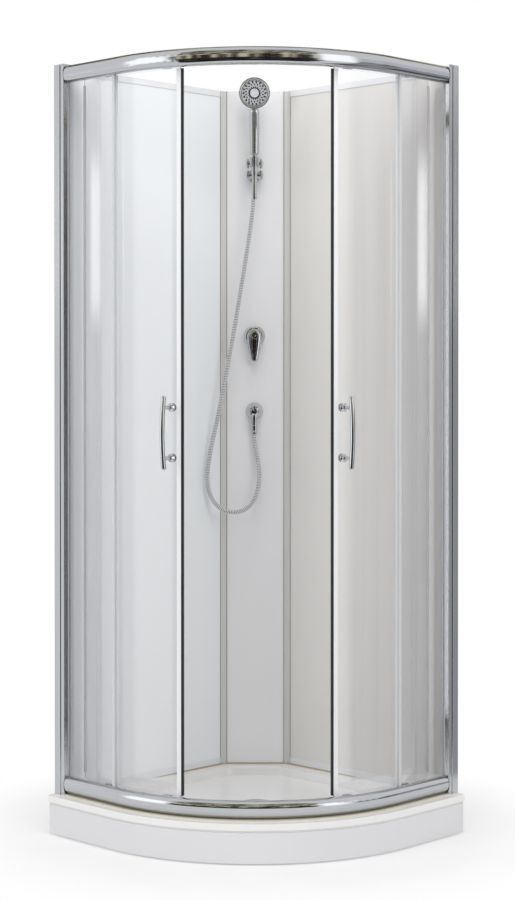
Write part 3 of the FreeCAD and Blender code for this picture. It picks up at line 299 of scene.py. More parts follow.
def band(value, start, end, soft):
    """The two steps that keep a value between start and end, with soft edges outside them."""
    return (value, start - soft, start), (value, end + soft, end)


def mask(tree, *steps):
    """The product of smooth steps of a value. A step is (value, start, end): 0 at start and 1 at end."""
    share = None
    for value, start, end in steps:
        new = {"Value": value, "From Min": start, "From Max": end}
        new = add(tree, "MapRange", new, interpolation_type="SMOOTHSTEP")
        share = new if share is None else add(tree, "Math", {0: share, 1: new}, operation="MULTIPLY")
    return share


def light_paths(tree):
    """Two 0 or 1 values: the ray lights a matt surface, and the ray comes off a mirror. Both are 0 for what
    the camera sees, straight or through glass."""
    path = add(tree, "LightPath")
    depths = [path.outputs[f"{kind} Depth"] for kind in ("Diffuse", "Glossy")]
    return [add(tree, "Math", {0: depth, 1: 0.5}, operation="GREATER_THAN") for depth in depths]


def gloss_acrylic(name, colour):
    """Vacuum-formed acrylic: deep gloss over a faint orange peel of about 4 mm, with dull water marks of
    about 3 cm and a slow change of tone."""
    material, tree = new_material(name)
    place, base = coordinates(tree), to_linear(colour)
    peel = add(tree, "TexNoise", {"Vector": place, "Scale": 250.0, "Detail": 2.0})
    marks = add(tree, "TexNoise", {"Vector": place, "Scale": 30.0, "Detail": 4.0})
    tone = add(tree, "TexNoise", {"Vector": place, "Scale": 4.0, "Detail": 2.0})
    tones = {"Factor": tone, "A": dimmed(base, 0.965), "B": base}
    surface = {
        "Base Color": add(tree, "Mix", tones, data_type="RGBA"),
        "Roughness": add(tree, "MapRange", {"Value": marks, "To Min": 0.08, "To Max": 0.2}),
        "Normal": add(tree, "Bump", {"Height": peel, "Strength": 0.05, "Distance": 0.0002}),
        "IOR": 1.49,
    }
    return coat(material, surface)


def polished_chrome(name, colour, rough=0.05):
    """Electroplated chrome: a mirror with faint wiping marks of about a centimetre."""
    material, tree = new_material(name)
    place, base = coordinates(tree), to_linear(colour)
    wipe = add(tree, "TexNoise", {"Vector": place, "Scale": 90.0, "Detail": 5.0})
    tone = add(tree, "TexNoise", {"Vector": place, "Scale": 12.0, "Detail": 1.0})
    tones = {"Factor": tone, "A": dimmed(base, 0.93), "B": base}
    surface = {
        "Base Color": add(tree, "Mix", tones, data_type="RGBA"),
        "Roughness": add(tree, "MapRange", {"Value": wipe, "To Min": rough * 0.6, "To Max": rough * 1.8}),
        "Metallic": 1.0,
    }
    return coat(material, surface)


def wound_steel(name, colour):
    """Hose of wound chromed strip under a clear PVC skin: bright, a third mirror and the rest milky, with
    painted shade, near black, in the grooves, whose depth is the mesh's own attribute."""
    material, tree = new_material(name)
    groove = add(tree, "Attribute", attribute_name="groove").outputs["Fac"]
    wipe = add(tree, "TexNoise", {"Vector": coordinates(tree), "Scale": 90.0, "Detail": 3.0})
    # painted shade: the strip's colour darkens to near black in the deep part of each groove
    tones = {"Factor": mask(tree, (groove, 0.5, 0.85)), "A": to_linear(colour), "B": to_linear("#2C2D30")}
    surface = {
        "Base Color": add(tree, "Mix", tones, data_type="RGBA"),
        "Roughness": add(tree, "MapRange", {"Value": wipe, "To Min": 0.12, "To Max": 0.25}),
        "Metallic": 0.35,
        "IOR": 1.5,
    }
    return coat(material, surface)


def drawn_profile(name, colour, pitch, along="Z", rough=0.1):
    """Extruded aluminium with a chrome finish: a mirror with die lines that run the length of the profile,
    some four of them in a cell of the pattern."""
    material, tree = new_material(name)
    fine = 0.25 / pitch
    stretch = (fine, fine, fine * 0.002) if along == "Z" else (fine * 0.05, fine * 0.05, fine)
    lines = add(tree, "TexNoise", {"Vector": coordinates(tree, stretch), "Scale": 1.0, "Detail": 3.0})
    wipe = add(tree, "TexNoise", {"Vector": coordinates(tree), "Scale": 35.0, "Detail": 4.0})
    base = to_linear(colour)
    tones = {"Factor": lines, "A": dimmed(base, 0.9), "B": base}
    surface = {
        "Base Color": add(tree, "Mix", tones, data_type="RGBA"),
        "Roughness": add(tree, "MapRange", {"Value": wipe, "To Min": rough * 0.6, "To Max": rough * 1.6}),
        "Normal": add(tree, "Bump", {"Height": lines, "Strength": 0.12, "Distance": 0.0001}),
        "Metallic": 1.0,
    }
    return coat(material, surface)


def moulded_plastic(name, colour, rough=0.4, grain=0.0008, depth=0.25):
    """Injection-moulded plastic: an even sheen with a slight change of tone and a fine spark-eroded grain,
    which is drawn coarse enough to show."""
    material, tree = new_material(name)
    place, base = coordinates(tree), to_linear(colour)
    texture = add(tree, "TexNoise", {"Vector": place, "Scale": 1.0 / grain, "Detail": 2.0})
    tone = add(tree, "TexNoise", {"Vector": place, "Scale": 20.0, "Detail": 3.0})
    tones = {"Factor": tone, "A": dimmed(base, 0.9), "B": base}
    surface = {
        "Base Color": add(tree, "Mix", tones, data_type="RGBA"),
        "Roughness": add(tree, "MapRange", {"Value": tone, "To Min": rough * 0.8, "To Max": rough * 1.2}),
        "Normal": add(tree, "Bump", {"Height": texture, "Strength": depth, "Distance": 0.0001}),
        "IOR": 1.5,
    }
    return coat(material, surface)


def corner_trim(name, colour):
    """Lacquered aluminium strip over the panels' joint: satin, with a line of painted shade and dust along
    both edges. The middle, free of that shade and dust, lies between two distances from the enclosure's
    plane of symmetry."""
    material, tree = new_material(name)
    split = add(tree, "SeparateXYZ", {"Vector": add(tree, "TexCoord").outputs["Object"]})
    side = add(tree, "Math", {0: split.outputs["X"]}, operation="ABSOLUTE")
    grain = add(tree, "TexNoise", {"Vector": coordinates(tree), "Scale": 60.0, "Detail": 3.0})
    # painted shade and dust: the strip turns grey along both edges, where it meets the panels
    free_of_shade_and_dust = mask(tree, *band(side, 0.0855, 0.1005, 0.0012))
    tones = {"Factor": free_of_shade_and_dust, "A": to_linear("#8B8A88"), "B": to_linear(colour)}
    surface = {
        "Base Color": add(tree, "Mix", tones, data_type="RGBA"),
        "Roughness": add(tree, "MapRange", {"Value": grain, "To Min": 0.28, "To Max": 0.4}),
        "IOR": 1.5,
    }
    return coat(material, surface)


def soft_pvc(name, colour, clearness=0.7):
    """Extruded soft PVC: milky, partly clear, with lines about a millimetre apart along it from the die."""
    material, tree = new_material(name)
    place, base = coordinates(tree, (900.0, 900.0, 3.0)), to_linear(colour)
    lines = add(tree, "TexNoise", {"Vector": place, "Scale": 1.0, "Detail": 2.0})
    tones = {"Factor": lines, "A": dimmed(base, 0.85), "B": base}
    surface = {
        "Base Color": add(tree, "Mix", tones, data_type="RGBA"),
        "Roughness": add(tree, "MapRange", {"Value": lines, "To Min": 0.25, "To Max": 0.45}),
        "IOR": 1.45,
        "Transmission Weight": clearness,
    }
    return coat(material, surface)


def clear_glass(name, clear):
    """Float glass seen through its faces: clear and colourless, with faint wiping marks. Lamps shine
    through it."""
    material, tree = new_material(name)
    marks = add(tree, "TexNoise", {"Vector": coordinates(tree), "Scale": 14.0, "Detail": 5.0})
    surface = {
        "Base Color": to_linear(clear),
        "Roughness": add(tree, "MapRange", {"Value": marks, "To Min": 0.0, "To Max": 0.012}),
        "IOR": 1.52,
        "Transmission Weight": 1.0,
    }
    pane = {
        0: add(tree, "LightPath").outputs["Is Shadow Ray"],
        1: add(tree, "BsdfPrincipled", surface),
        2: add(tree, "BsdfTransparent", {"Color": to_linear(clear)}),
    }
    add(tree, "OutputMaterial", {"Surface": add(tree, "MixShader", pane)})
    return material


def glass_edge(name, green):
    """The ground and arrissed edge of float glass: grey-green, because the eye looks along the pane, with a
    grind that is drawn coarse enough to show."""
    material, tree = new_material(name)
    grind = add(tree, "TexNoise", {"Vector": coordinates(tree), "Scale": 700.0, "Detail": 2.0})
    base = to_linear(green)
    tones = {"Factor": grind, "A": dimmed(base, 0.7), "B": base}
    surface = {
        "Base Color": add(tree, "Mix", tones, data_type="RGBA"),
        "Roughness": 0.25,
        "IOR": 1.52,
        "Transmission Weight": 0.3,
    }
    return coat(material, surface)


def cast_silicone(name, colour):
    """Silicone sealant smoothed with a wet finger: soft sheen and a slow waver of about 8 mm."""
    material, tree = new_material(name)
    waver = add(tree, "TexNoise", {"Vector": coordinates(tree), "Scale": 120.0, "Detail": 3.0})
    base = to_linear(colour)
    tones = {"Factor": waver, "A": dimmed(base, 0.82), "B": base}
    surface = {
        "Base Color": add(tree, "Mix", tones, data_type="RGBA"),
        "Roughness": 0.35,
        "Normal": add(tree, "Bump", {"Height": waver, "Strength": 0.4, "Distance": 0.0004}),
        "IOR": 1.41,
    }
    return coat(material, surface)


def galvanised_steel(name):
    """Hot-dip galvanised steel: grey zinc crystals of about a centimetre, each with its own sheen."""
    material, tree = new_material(name)
    spangle = add(tree, "TexVoronoi", {"Vector": coordinates(tree), "Scale": 110.0}).outputs["Color"]
    tones = {"Factor": spangle, "A": to_linear("#8E9396"), "B": to_linear("#B9BDBF")}
    surface = {
        "Base Color": add(tree, "Mix", tones, data_type="RGBA"),
        "Roughness": add(tree, "MapRange", {"Value": spangle, "To Min": 0.3, "To Max": 0.55}),
        "Metallic": 1.0,
    }
    return coat(material, surface)


def foot_steel_and_rubber(name):
    """Adjustable foot: a black rubber pad up to its top, and the zinc-plated stud and nut above it."""
    material, tree = new_material(name)
    split = add(tree, "SeparateXYZ", {"Vector": add(tree, "TexCoord").outputs["Object"]})
    above = add(tree, "Math", {0: split.outputs["Z"], 1: PAD_TOP}, operation="GREATER_THAN")
    grain = add(tree, "TexNoise", {"Vector": coordinates(tree), "Scale": 400.0, "Detail": 2.0})
    zincs = {"Factor": grain, "A": to_linear("#A7ABAD"), "B": to_linear("#C4C7C9")}
    tones = {"Factor": above, "A": to_linear("#232427"), "B": add(tree, "Mix", zincs, data_type="RGBA")}
    surface = {
        "Base Color": add(tree, "Mix", tones, data_type="RGBA"),
        "Roughness": add(tree, "MapRange", {"Value": grain, "To Min": 0.35, "To Max": 0.6}),
        "Metallic": above,
    }
    return coat(material, surface)


def finish(material, *names):
    """Gives CAD nodes or pieces one material."""
    for name in names:
        mesh = bpy.data.objects[name].data
        mesh.materials.clear()
        mesh.materials.append(material)


def grid_surface(points, close_u=False, close_v=False, caps=False):
    """Corners and faces of a surface through a grid of points (u, v, 3). close_u and close_v join an end to
    its start, and caps closes a tube's two ends with a fan round each end ring's middle."""
    rows, cols = points.shape[:2]
    corners = points.reshape(-1, 3)
    u = np.arange(rows if close_u else rows - 1)[:, None]
    v = np.arange(cols if close_v else cols - 1)
    up, over = (u + 1) % rows, (v + 1) % cols
    quads = np.stack([u * cols + v, up * cols + v, up * cols + over, u * cols + over], -1).reshape(-1, 4)
    faces = quads.tolist()
    if caps:
        ring, ends = np.arange(cols), len(corners)
        corners = np.vstack([corners, points[0].mean(0), points[-1].mean(0)])
        start = np.stack([ring, np.roll(ring, -1), np.full(cols, ends)], -1)
        last = (rows - 1) * cols
        stop = np.stack([last + np.roll(ring, -1), last + ring, np.full(cols, ends + 1)], -1)
        faces += start.tolist() + stop.tolist()
    return corners, faces


def make_piece(name, surfaces, material, body=None, sharp=40.0):
    """One object from closed surfaces, smooth but for edges sharper than an angle, with faces outwards."""
    corners, faces, first = [], [], 0
    for points, loops in surfaces:
        corners.append(points)
        faces += [[first + i for i in loop] for loop in loops]
        first += len(points)
    mesh = bpy.data.meshes.new(name)
    mesh.from_pydata(np.vstack(corners).tolist(), [], faces)
    shell = bmesh.new()
    shell.from_mesh(mesh)
    bmesh.ops.recalc_face_normals(shell, faces=shell.faces)
    shell.to_mesh(mesh)
    shell.free()
    mesh.set_sharp_from_angle(angle=np.radians(sharp))
    mesh.materials.append(material)
    piece = bpy.data.objects.new(name, mesh)
    bpy.context.scene.collection.objects.link(piece)
    if body is not None:
        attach(piece, body)
    return piece


def unit(vectors):
    return vectors / np.linalg.norm(vectors, axis=-1, keepdims=True)


def circle(count):
    """Angles of count points evenly round a circle, from 0."""
    return np.linspace(0, 2 * np.pi, count, endpoint=False)


def mesh_points(mesh):
    """A mesh's vertices in metres."""
    flat = np.empty(len(mesh.vertices) * 3)
    mesh.vertices.foreach_get("co", flat)
    return flat.reshape(-1, 3)


def smooth_line(name, points):
    """The points of a NURBS line of order 3 through its end points, about 1 mm apart along it."""
    curve = bpy.data.curves.new(name, "CURVE")
    curve.dimensions = "3D"
    curve.resolution_u = 48
    spline = curve.splines.new("NURBS")
    spline.points.add(len(points) - 1)
    spline.points.foreach_set("co", np.hstack([np.array(points), np.ones((len(points), 1))]).ravel())
    spline.order_u = 3
    spline.use_endpoint_u = True
    holder = bpy.data.objects.new(name, curve)
    bpy.context.scene.collection.objects.link(holder)
    bpy.context.view_layer.update()
    mesh = bpy.data.meshes.new_from_object(holder)
    line = mesh_points(mesh)
    bpy.data.objects.remove(holder)
    bpy.data.meshes.remove(mesh)
    return line


class SHOWER_OT_hose(bpy.types.Operator):
    """Winds the metal hose: a tube on the smooth line, whose radius dips in a groove that climbs as a
    helix. Its sleeve is a thin wall's section turned about the hose's upright end"""

    bl_idname = "shower.hose"
    bl_label = "Metal Hose"

    def execute(self, context):
        sizes = look().hose
        line = smooth_line("hose_line", HOSE_ROUTE)
        steps = np.linalg.norm(np.diff(line, axis=0), axis=1)
        run = np.concatenate([[0.0], np.cumsum(steps)])
        along = np.linspace(0, run[-1], int(run[-1] / (sizes.pitch / RINGS_PER_TURN)))
        centre = np.stack([np.interp(along, run, line[:, i]) for i in range(3)], -1)
        tangent = unit(np.gradient(centre, axis=0))
        across = unit(np.cross(tangent, (0.0, 1.0, 0.0)))
        outward = np.cross(across, tangent)
        angle = circle(HOSE_SIDES)
        phase = (along[:, None] / sizes.pitch + angle / (2 * np.pi)) % 1.0
        dip = 0.5 - 0.5 * np.cos(2 * np.pi * phase)
        radius = sizes.diameter / 2 - sizes.groove * dip
        around = across[:, None] * np.cos(angle)[:, None] + outward[:, None] * np.sin(angle)[:, None]
        points = centre[:, None] + around * radius[..., None]
        metal = wound_steel("chromed wound steel", look().hose.strip)
        hose = make_piece("metal_hose", [grid_surface(points, close_v=True, caps=True)], metal, sharp=180.0)
        # the groove's depth at each point, which the hose's material darkens as painted shade
        groove = hose.data.attributes.new("groove", "FLOAT", "POINT")
        groove.data.foreach_set("value", np.concatenate([dip.ravel(), [0.0, 0.0]]).astype(np.float32))
        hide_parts("shower_hose")
        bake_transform(hose)
        radius, height = SLEEVE_WALL.T
        x, y = (radius * swing(angle[:, None]) for swing in (np.cos, np.sin))
        sleeve = np.stack([FITTINGS_X + x, HOSE_ROUTE[0][1] + y, np.broadcast_to(height, x.shape)], -1)
        plain = polished_chrome("chromed sleeve", look().metal.chrome, 0.06)
        make_piece("hose_sleeve", [grid_surface(sleeve, close_u=True, close_v=True)], plain, "handset")
        return {"FINISHED"}


class SHOWER_OT_spray(bpy.types.Operator):
    """Sets rings of oval rubber nozzles on the spray plate, each a low dome: an ellipse that shrinks as it
    rises. The rubber ring round the hub and the bezel are round sections swept round the face's axis"""

    bl_idname = "shower.spray"
    bl_label = "Spray Nozzles"

    def execute(self, context):
        sizes = look().spray
        plate = mesh_points(bpy.data.objects["spray_plate"].data)
        facing = np.linalg.eigh(np.cov(plate.T))[1][:, 0]  # the plate is thinnest along its own axis
        facing = facing * -np.sign(facing[1])
        side = unit(np.cross(facing, (0.0, 0.0, 1.0)))
        up = np.cross(side, facing)
        offsets = plate - (plate.min(0) + plate.max(0)) / 2
        middle = (plate.min(0) + plate.max(0)) / 2 + facing * (offsets @ facing).max()
        reach = np.linalg.norm(offsets - np.outer(offsets @ facing, facing), axis=1).max()
        stagger = 0.5 * (np.arange(sizes.rings)[:, None] % 2)
        turn = ((np.arange(sizes.number) + stagger) * 2 * np.pi / sizes.number).ravel()
        radius = np.repeat(np.linspace(*RING_RADII, sizes.rings), sizes.number)
        size = np.repeat(np.linspace(*RING_SHARES, sizes.rings), sizes.number)[:, None]
        out = np.cos(turn)[:, None] * side + np.sin(turn)[:, None] * up
        round_way = np.cross(facing, out)
        ahead, aside = NOZZLE_LEAN
        long_axis = (out * ahead + round_way * aside) * size * sizes.length / 2
        short_axis = (round_way * ahead - out * aside) * size * sizes.width / 2
        shrink, lift = NOZZLE_DOME.T[..., None, None]
        theta = circle(NOZZLE_SIDES)[:, None]
        cos, sin = np.cos(theta), np.sin(theta)
        surfaces = []
        for i in range(len(turn)):
            oval = shrink * (cos * long_axis[i] + sin * short_axis[i])
            dome = middle + out[i] * radius[i] + oval + lift * sizes.rise * facing
            surfaces.append(grid_surface(dome, close_v=True, caps=True))
        swing = circle(SWEEP_STEPS)[:, None, None]
        ring_out = np.cos(swing) * side + np.sin(swing) * up
        hub, half, rise = HUB_RING
        ring = middle + ring_out * (hub + half * cos) + facing * (rise * sin)
        surfaces.append(grid_surface(ring, close_u=True, close_v=True))
        rubber = moulded_plastic("nozzle silicone rubber", "#151619", 0.6, 0.0006)
        make_piece("spray_nozzles", surfaces, rubber, "handset")
        bezel = middle + ring_out * (reach - BEZEL_INSET + BEZEL_HALF * cos) + facing * (BEZEL_RISE * sin)
        satin = polished_chrome("satin chromed bezel", "#F2F2F4", 0.28)
        make_piece("spray_bezel", [grid_surface(bezel, close_u=True, close_v=True)], satin, "handset")
        return {"FINISHED"}


class SHOWER_OT_knobs(bpy.types.Operator):
    """Turns the holder's four knobs: a domed profile swept round the screw, its radius waved by flutes"""

    bl_idname = "shower.knobs"
    bl_label = "Holder Knobs"

    def execute(self, context):
        chrome = bpy.data.materials["chromed ABS shell"]
        turn = circle(KNOB_SIDES)
        out, radius = KNOB_PROFILE.T[..., None]
        radius = radius * (1 + FLUTE_DEPTH * np.cos(FLUTES * turn) * (radius > FLUTED_FROM))
        for name, body, (y, z), scale in KNOBS:
            surfaces = []
            for sign in (-1, 1):
                x = np.broadcast_to(FITTINGS_X + sign * out, radius.shape)
                across, above = scale * radius * np.cos(turn), scale * radius * np.sin(turn)
                points = np.stack([x, y + across, z + above], -1)
                surfaces.append(grid_surface(points, close_v=True, caps=True))
            make_piece(name, surfaces, chrome, body)
        return {"FINISHED"}


class SHOWER_OT_lever(bpy.types.Operator):
    """Forms the lever: a tongue whose half-width runs from a round top to a round tip, crowned as a half
    ellipse across, with a shallow dish near the top, on the two ears that hold its pin"""

    bl_idname = "shower.lever"
    bl_label = "Mixer Lever"

    def execute(self, context):
        low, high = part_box("mixer_lever")
        middle, broad = (low[0] + high[0]) / 2, (high[0] - low[0]) / 2
        top, tip, front = high[2], low[2], low[1]
        t = np.linspace(LEVER_POLE, np.pi - LEVER_POLE, LEVER_ROWS)
        height = (top + tip) / 2 + np.cos(t) * (top - tip) / 2
        waist, ankle = top - broad, tip + LEVER_TIP
        share = np.clip((waist - height) / (waist - ankle), 0, 1)
        taper = broad + (LEVER_TIP - broad) * share**TAPER_POWER
        above, below = np.clip(height - waist, 0, broad), np.clip(ankle - height, 0, LEVER_TIP)
        rounded = np.sqrt(broad**2 - above**2), np.sqrt(np.maximum(taper**2 - below**2, 0))
        half = np.minimum(np.minimum(taper, rounded[0]), rounded[1])
        phi = circle(LEVER_SIDES)
        rise = np.where(np.sin(phi) > 0, np.abs(np.sin(phi)) ** SECTION_POWER, -BACK_BULGE)
        bulge = LEVER_CROWN * (half / broad) ** FALL_POWER
        x = middle + half[:, None] * np.cos(phi)
        y = front + LEVER_CROWN - bulge[:, None] * rise
        away = (x - middle) ** 2 + (height[:, None] - top + DISH_DROP) ** 2
        dish = DISH_DEPTH * np.exp(-away / DISH_REACH**2)
        points = np.stack([x, y + dish * (rise > 0), np.broadcast_to(height[:, None], x.shape)], -1)
        surfaces = [grid_surface(points, close_v=True, caps=True)]
        turn = circle(EAR_SIDES)
        ear_y = front + PIN_BACK + EAR_RADIUS * np.cos(turn) - EAR_TAIL * (np.cos(turn) < EAR_FORWARD)
        ear_z = PIN_HEIGHT + EAR_RADIUS * np.sin(turn)
        for sign in (-1, 1):
            ears = middle + sign * np.array(EAR_FACES)[:, None] + 0 * turn
            plate = np.stack([ears, np.tile(ear_y, (2, 1)), np.tile(ear_z, (2, 1))], -1)
            surfaces.append(grid_surface(plate, close_v=True, caps=True))
        lever = make_piece("lever_tongue", surfaces, bpy.data.materials["chromed brass"], "mixer_lever")
        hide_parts("mixer_lever")
        return {"FINISHED"}


class SHOWER_OT_sealant(bpy.types.Operator):
    """Lays the silicone line along the foot of the lining: a round bead carried along the panels' fronts"""

    bl_idname = "shower.sealant"
    bl_label = "Lining Sealant"

    def execute(self, context):
        low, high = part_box("panel_foot_profiles")
        corner_low, corner_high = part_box("corner_panel")
        end, bend = high[0] - BEAD_END, corner_high[0] - BEAD_BEND
        near, far = low[1] + BEAD_BACK, corner_low[1]
        route = np.array([(-end, near), (-bend, far), (bend, far), (end, near)])
        run = np.linspace(0, 3, BEAD_STEPS)
        centre = np.stack([np.interp(run, np.arange(4), route[:, i]) for i in range(2)], -1)
        centre = np.column_stack([centre, np.full(len(run), low[2] + BEAD_LIFT)])
        upright = np.array((0.0, 0.0, 1.0))
        across = np.cross(unit(np.gradient(centre, axis=0)), upright)
        theta = circle(BEAD_SIDES)[:, None]
        ring = np.cos(theta) * across[:, None] + np.sin(theta) * upright
        surface = grid_surface(centre[:, None] + BEAD_RADIUS * ring, close_v=True, caps=True)
        silicone = cast_silicone("aged silicone", "#B9AA8C")
        make_piece("lining_sealant", [surface], silicone, "enclosure", 180.0)
        return {"FINISHED"}


class SHOWER_OT_tray(bpy.types.Operator):
    """Finishes the tray, its front panel and the sealing line"""

    bl_idname = "shower.tray"
    bl_label = "Tray"

    def execute(self, context):
        colours = look().tray
        finish(gloss_acrylic("vacuum-formed acrylic", colours.acrylic), "shower_tray")
        finish(gloss_acrylic("acrylic front panel", colours.apron), "tray_apron")
        finish(cast_silicone("sanitary silicone", colours.silicone), "sealing_bead")
        return {"FINISHED"}


class SHOWER_OT_waste(bpy.types.Operator):
    """Finishes the waste trap and its cap"""

    bl_idname = "shower.waste"
    bl_label = "Waste"

    def execute(self, context):
        finish(moulded_plastic("grey polypropylene", "#AEB2B4", 0.45), "drain_body")
        finish(polished_chrome("chromed ABS cap", look().metal.chrome), "drain_cap")
        return {"FINISHED"}


class SHOWER_OT_underframe(bpy.types.Operator):
    """Finishes the steel tubes and the adjustable feet under the tray"""

    bl_idname = "shower.underframe"
    bl_label = "Underframe"

    def execute(self, context):
        finish(galvanised_steel("galvanised steel"), "support_beams")
        finish(foot_steel_and_rubber("rubber foot on a zinc-plated stud"), "tray_feet")
        return {"FINISHED"}


class SHOWER_OT_frame(bpy.types.Operator):
    """Finishes the rails, the posts, the wall profiles and their plugs and caps"""

    bl_idname = "shower.frame"
    bl_label = "Rails and Posts"

    def execute(self, context):
        metal = look().metal
        curved = drawn_profile("chromed aluminium rail", metal.profile, metal.line_pitch, "round")
        finish(curved, "top_rail", "bottom_rail")
        upright = drawn_profile("chromed aluminium post", metal.profile, metal.line_pitch)
        finish(upright, "left_post", "right_post", "left_wall_profile", "right_wall_profile")
        finish(moulded_plastic("black ABS", "#1D1E20", 0.35), "rail_end_plugs")
        finish(polished_chrome("chromed ABS", metal.chrome), "post_caps")
        return {"FINISHED"}


class SHOWER_OT_glass(bpy.types.Operator):
    """Finishes the bent door panes and the flat fixed panes: clear faces and green edges. An edge is a face
    that doesn't look along the pane's thickness, which runs to the arc's axis or square to the flat pane"""

    bl_idname = "shower.glass"
    bl_label = "Glass"

    def execute(self, context):
        colours = look().glass
        clear = clear_glass("toughened float glass", colours.clear)
        green = glass_edge("ground glass edge", colours.edge)
        for name in ("left_door_glass", "right_door_glass", "left_fixed_glass", "right_fixed_glass"):
            finish(clear, name)
            mesh = context.scene.objects[name].data
            mesh.materials.append(green)
            count = len(mesh.polygons)
            normals, centres, areas = np.empty(count * 3), np.empty(count * 3), np.empty(count)
            mesh.polygons.foreach_get("normal", normals)
            mesh.polygons.foreach_get("center", centres)
            mesh.polygons.foreach_get("area", areas)
            normals, centres = normals.reshape(-1, 3), centres.reshape(-1, 3)
            if "door" in name:
                through = unit((centres - (0.0, ARC_Y, 0.0)) * (1, 1, 0))
            else:
                through = normals[areas.argmax()]
            aside = np.abs((normals * through).sum(-1)) < 0.5  # more than 60 degrees away
            mesh.polygons.foreach_set("material_index", aside.astype(np.int32))
        return {"FINISHED"}


class SHOWER_OT_seals(bpy.types.Operator):
    """Finishes the seals, gaskets and magnet strips"""

    bl_idname = "shower.seals"
    bl_label = "Seals"

    def execute(self, context):
        colours = look().glass
        milky = soft_pvc("soft PVC", colours.seal, 0.1)
        rubber = moulded_plastic("rubber-bound magnet", colours.magnet, 0.55)
        finish(soft_pvc("clear PVC", "#F4F6F8", 0.35), "glass_gaskets", "fixed_glass_seals")
        for side in ("left", "right"):
            finish(milky, f"{side}_magnet_seal", f"{side}_trailing_seal")
            finish(rubber, f"{side}_magnet")
        return {"FINISHED"}


class SHOWER_OT_doors(bpy.types.Operator):
    """Finishes the handles, the roller brackets and the wheels"""

    bl_idname = "shower.doors"
    bl_label = "Handles and Rollers"

    def execute(self, context):
        chrome = polished_chrome("chromed zinc", look().metal.chrome)
        pressed = polished_chrome("chromed bracket", look().metal.chrome, 0.1)
        acetal = moulded_plastic("acetal wheel", "#E4E4E0", 0.3)
        for side in ("left", "right"):
            finish(chrome, f"{side}_handle_bar", f"{side}_handle_fixings")
            finish(pressed, f"{side}_roller_brackets")
            for level in ("top", "bottom"):
                finish(acetal, f"{side}_wheel_{level}_front", f"{side}_wheel_{level}_rear")
        return {"FINISHED"}


class SHOWER_OT_lining(bpy.types.Operator):
    """Finishes the wall panels and the slim trim round them"""

    bl_idname = "shower.lining"
    bl_label = "Wall Lining"

    def execute(self, context):
        colours = look().lining
        finish(gloss_acrylic("left lining acrylic", colours.left), "left_wall_panel")
        finish(gloss_acrylic("corner lining acrylic", colours.corner), "corner_panel")
        finish(gloss_acrylic("right lining acrylic", colours.right), "right_wall_panel")
        trim = moulded_plastic("white lacquered aluminium", colours.trim, 0.3, 0.0006, 0.1)
        finish(trim, "panel_top_profiles", "panel_foot_profiles")
        finish(corner_trim("lacquered corner trim", colours.corner_trim), "panel_corner_profiles")
        return {"FINISHED"}


class SHOWER_OT_fittings(bpy.types.Operator):
    """Finishes the mixer, the wall outlet, the holder and the hand shower"""

    bl_idname = "shower.fittings"
    bl_label = "Fittings"

    def execute(self, context):
        chrome = polished_chrome("chromed brass", look().metal.chrome)
        finish(chrome, "mixer_rose", "mixer_body", "mixer_spindle", "mixer_lever")
        finish(chrome, "hose_outlet", "outlet_hose_nut")
        plated = polished_chrome("chromed ABS shell", look().metal.chrome, 0.06)
        finish(plated, "holder_base", "swivel_holder", "handset_body", "handset_hose_nut")
        finish(moulded_plastic("grey ABS spray plate", "#C6C9CC", 0.3), "spray_plate")
        finish(moulded_plastic("pale grey ABS hub", "#D3D4DA", 0.25), "spray_hub")
        return {"FINISHED"}


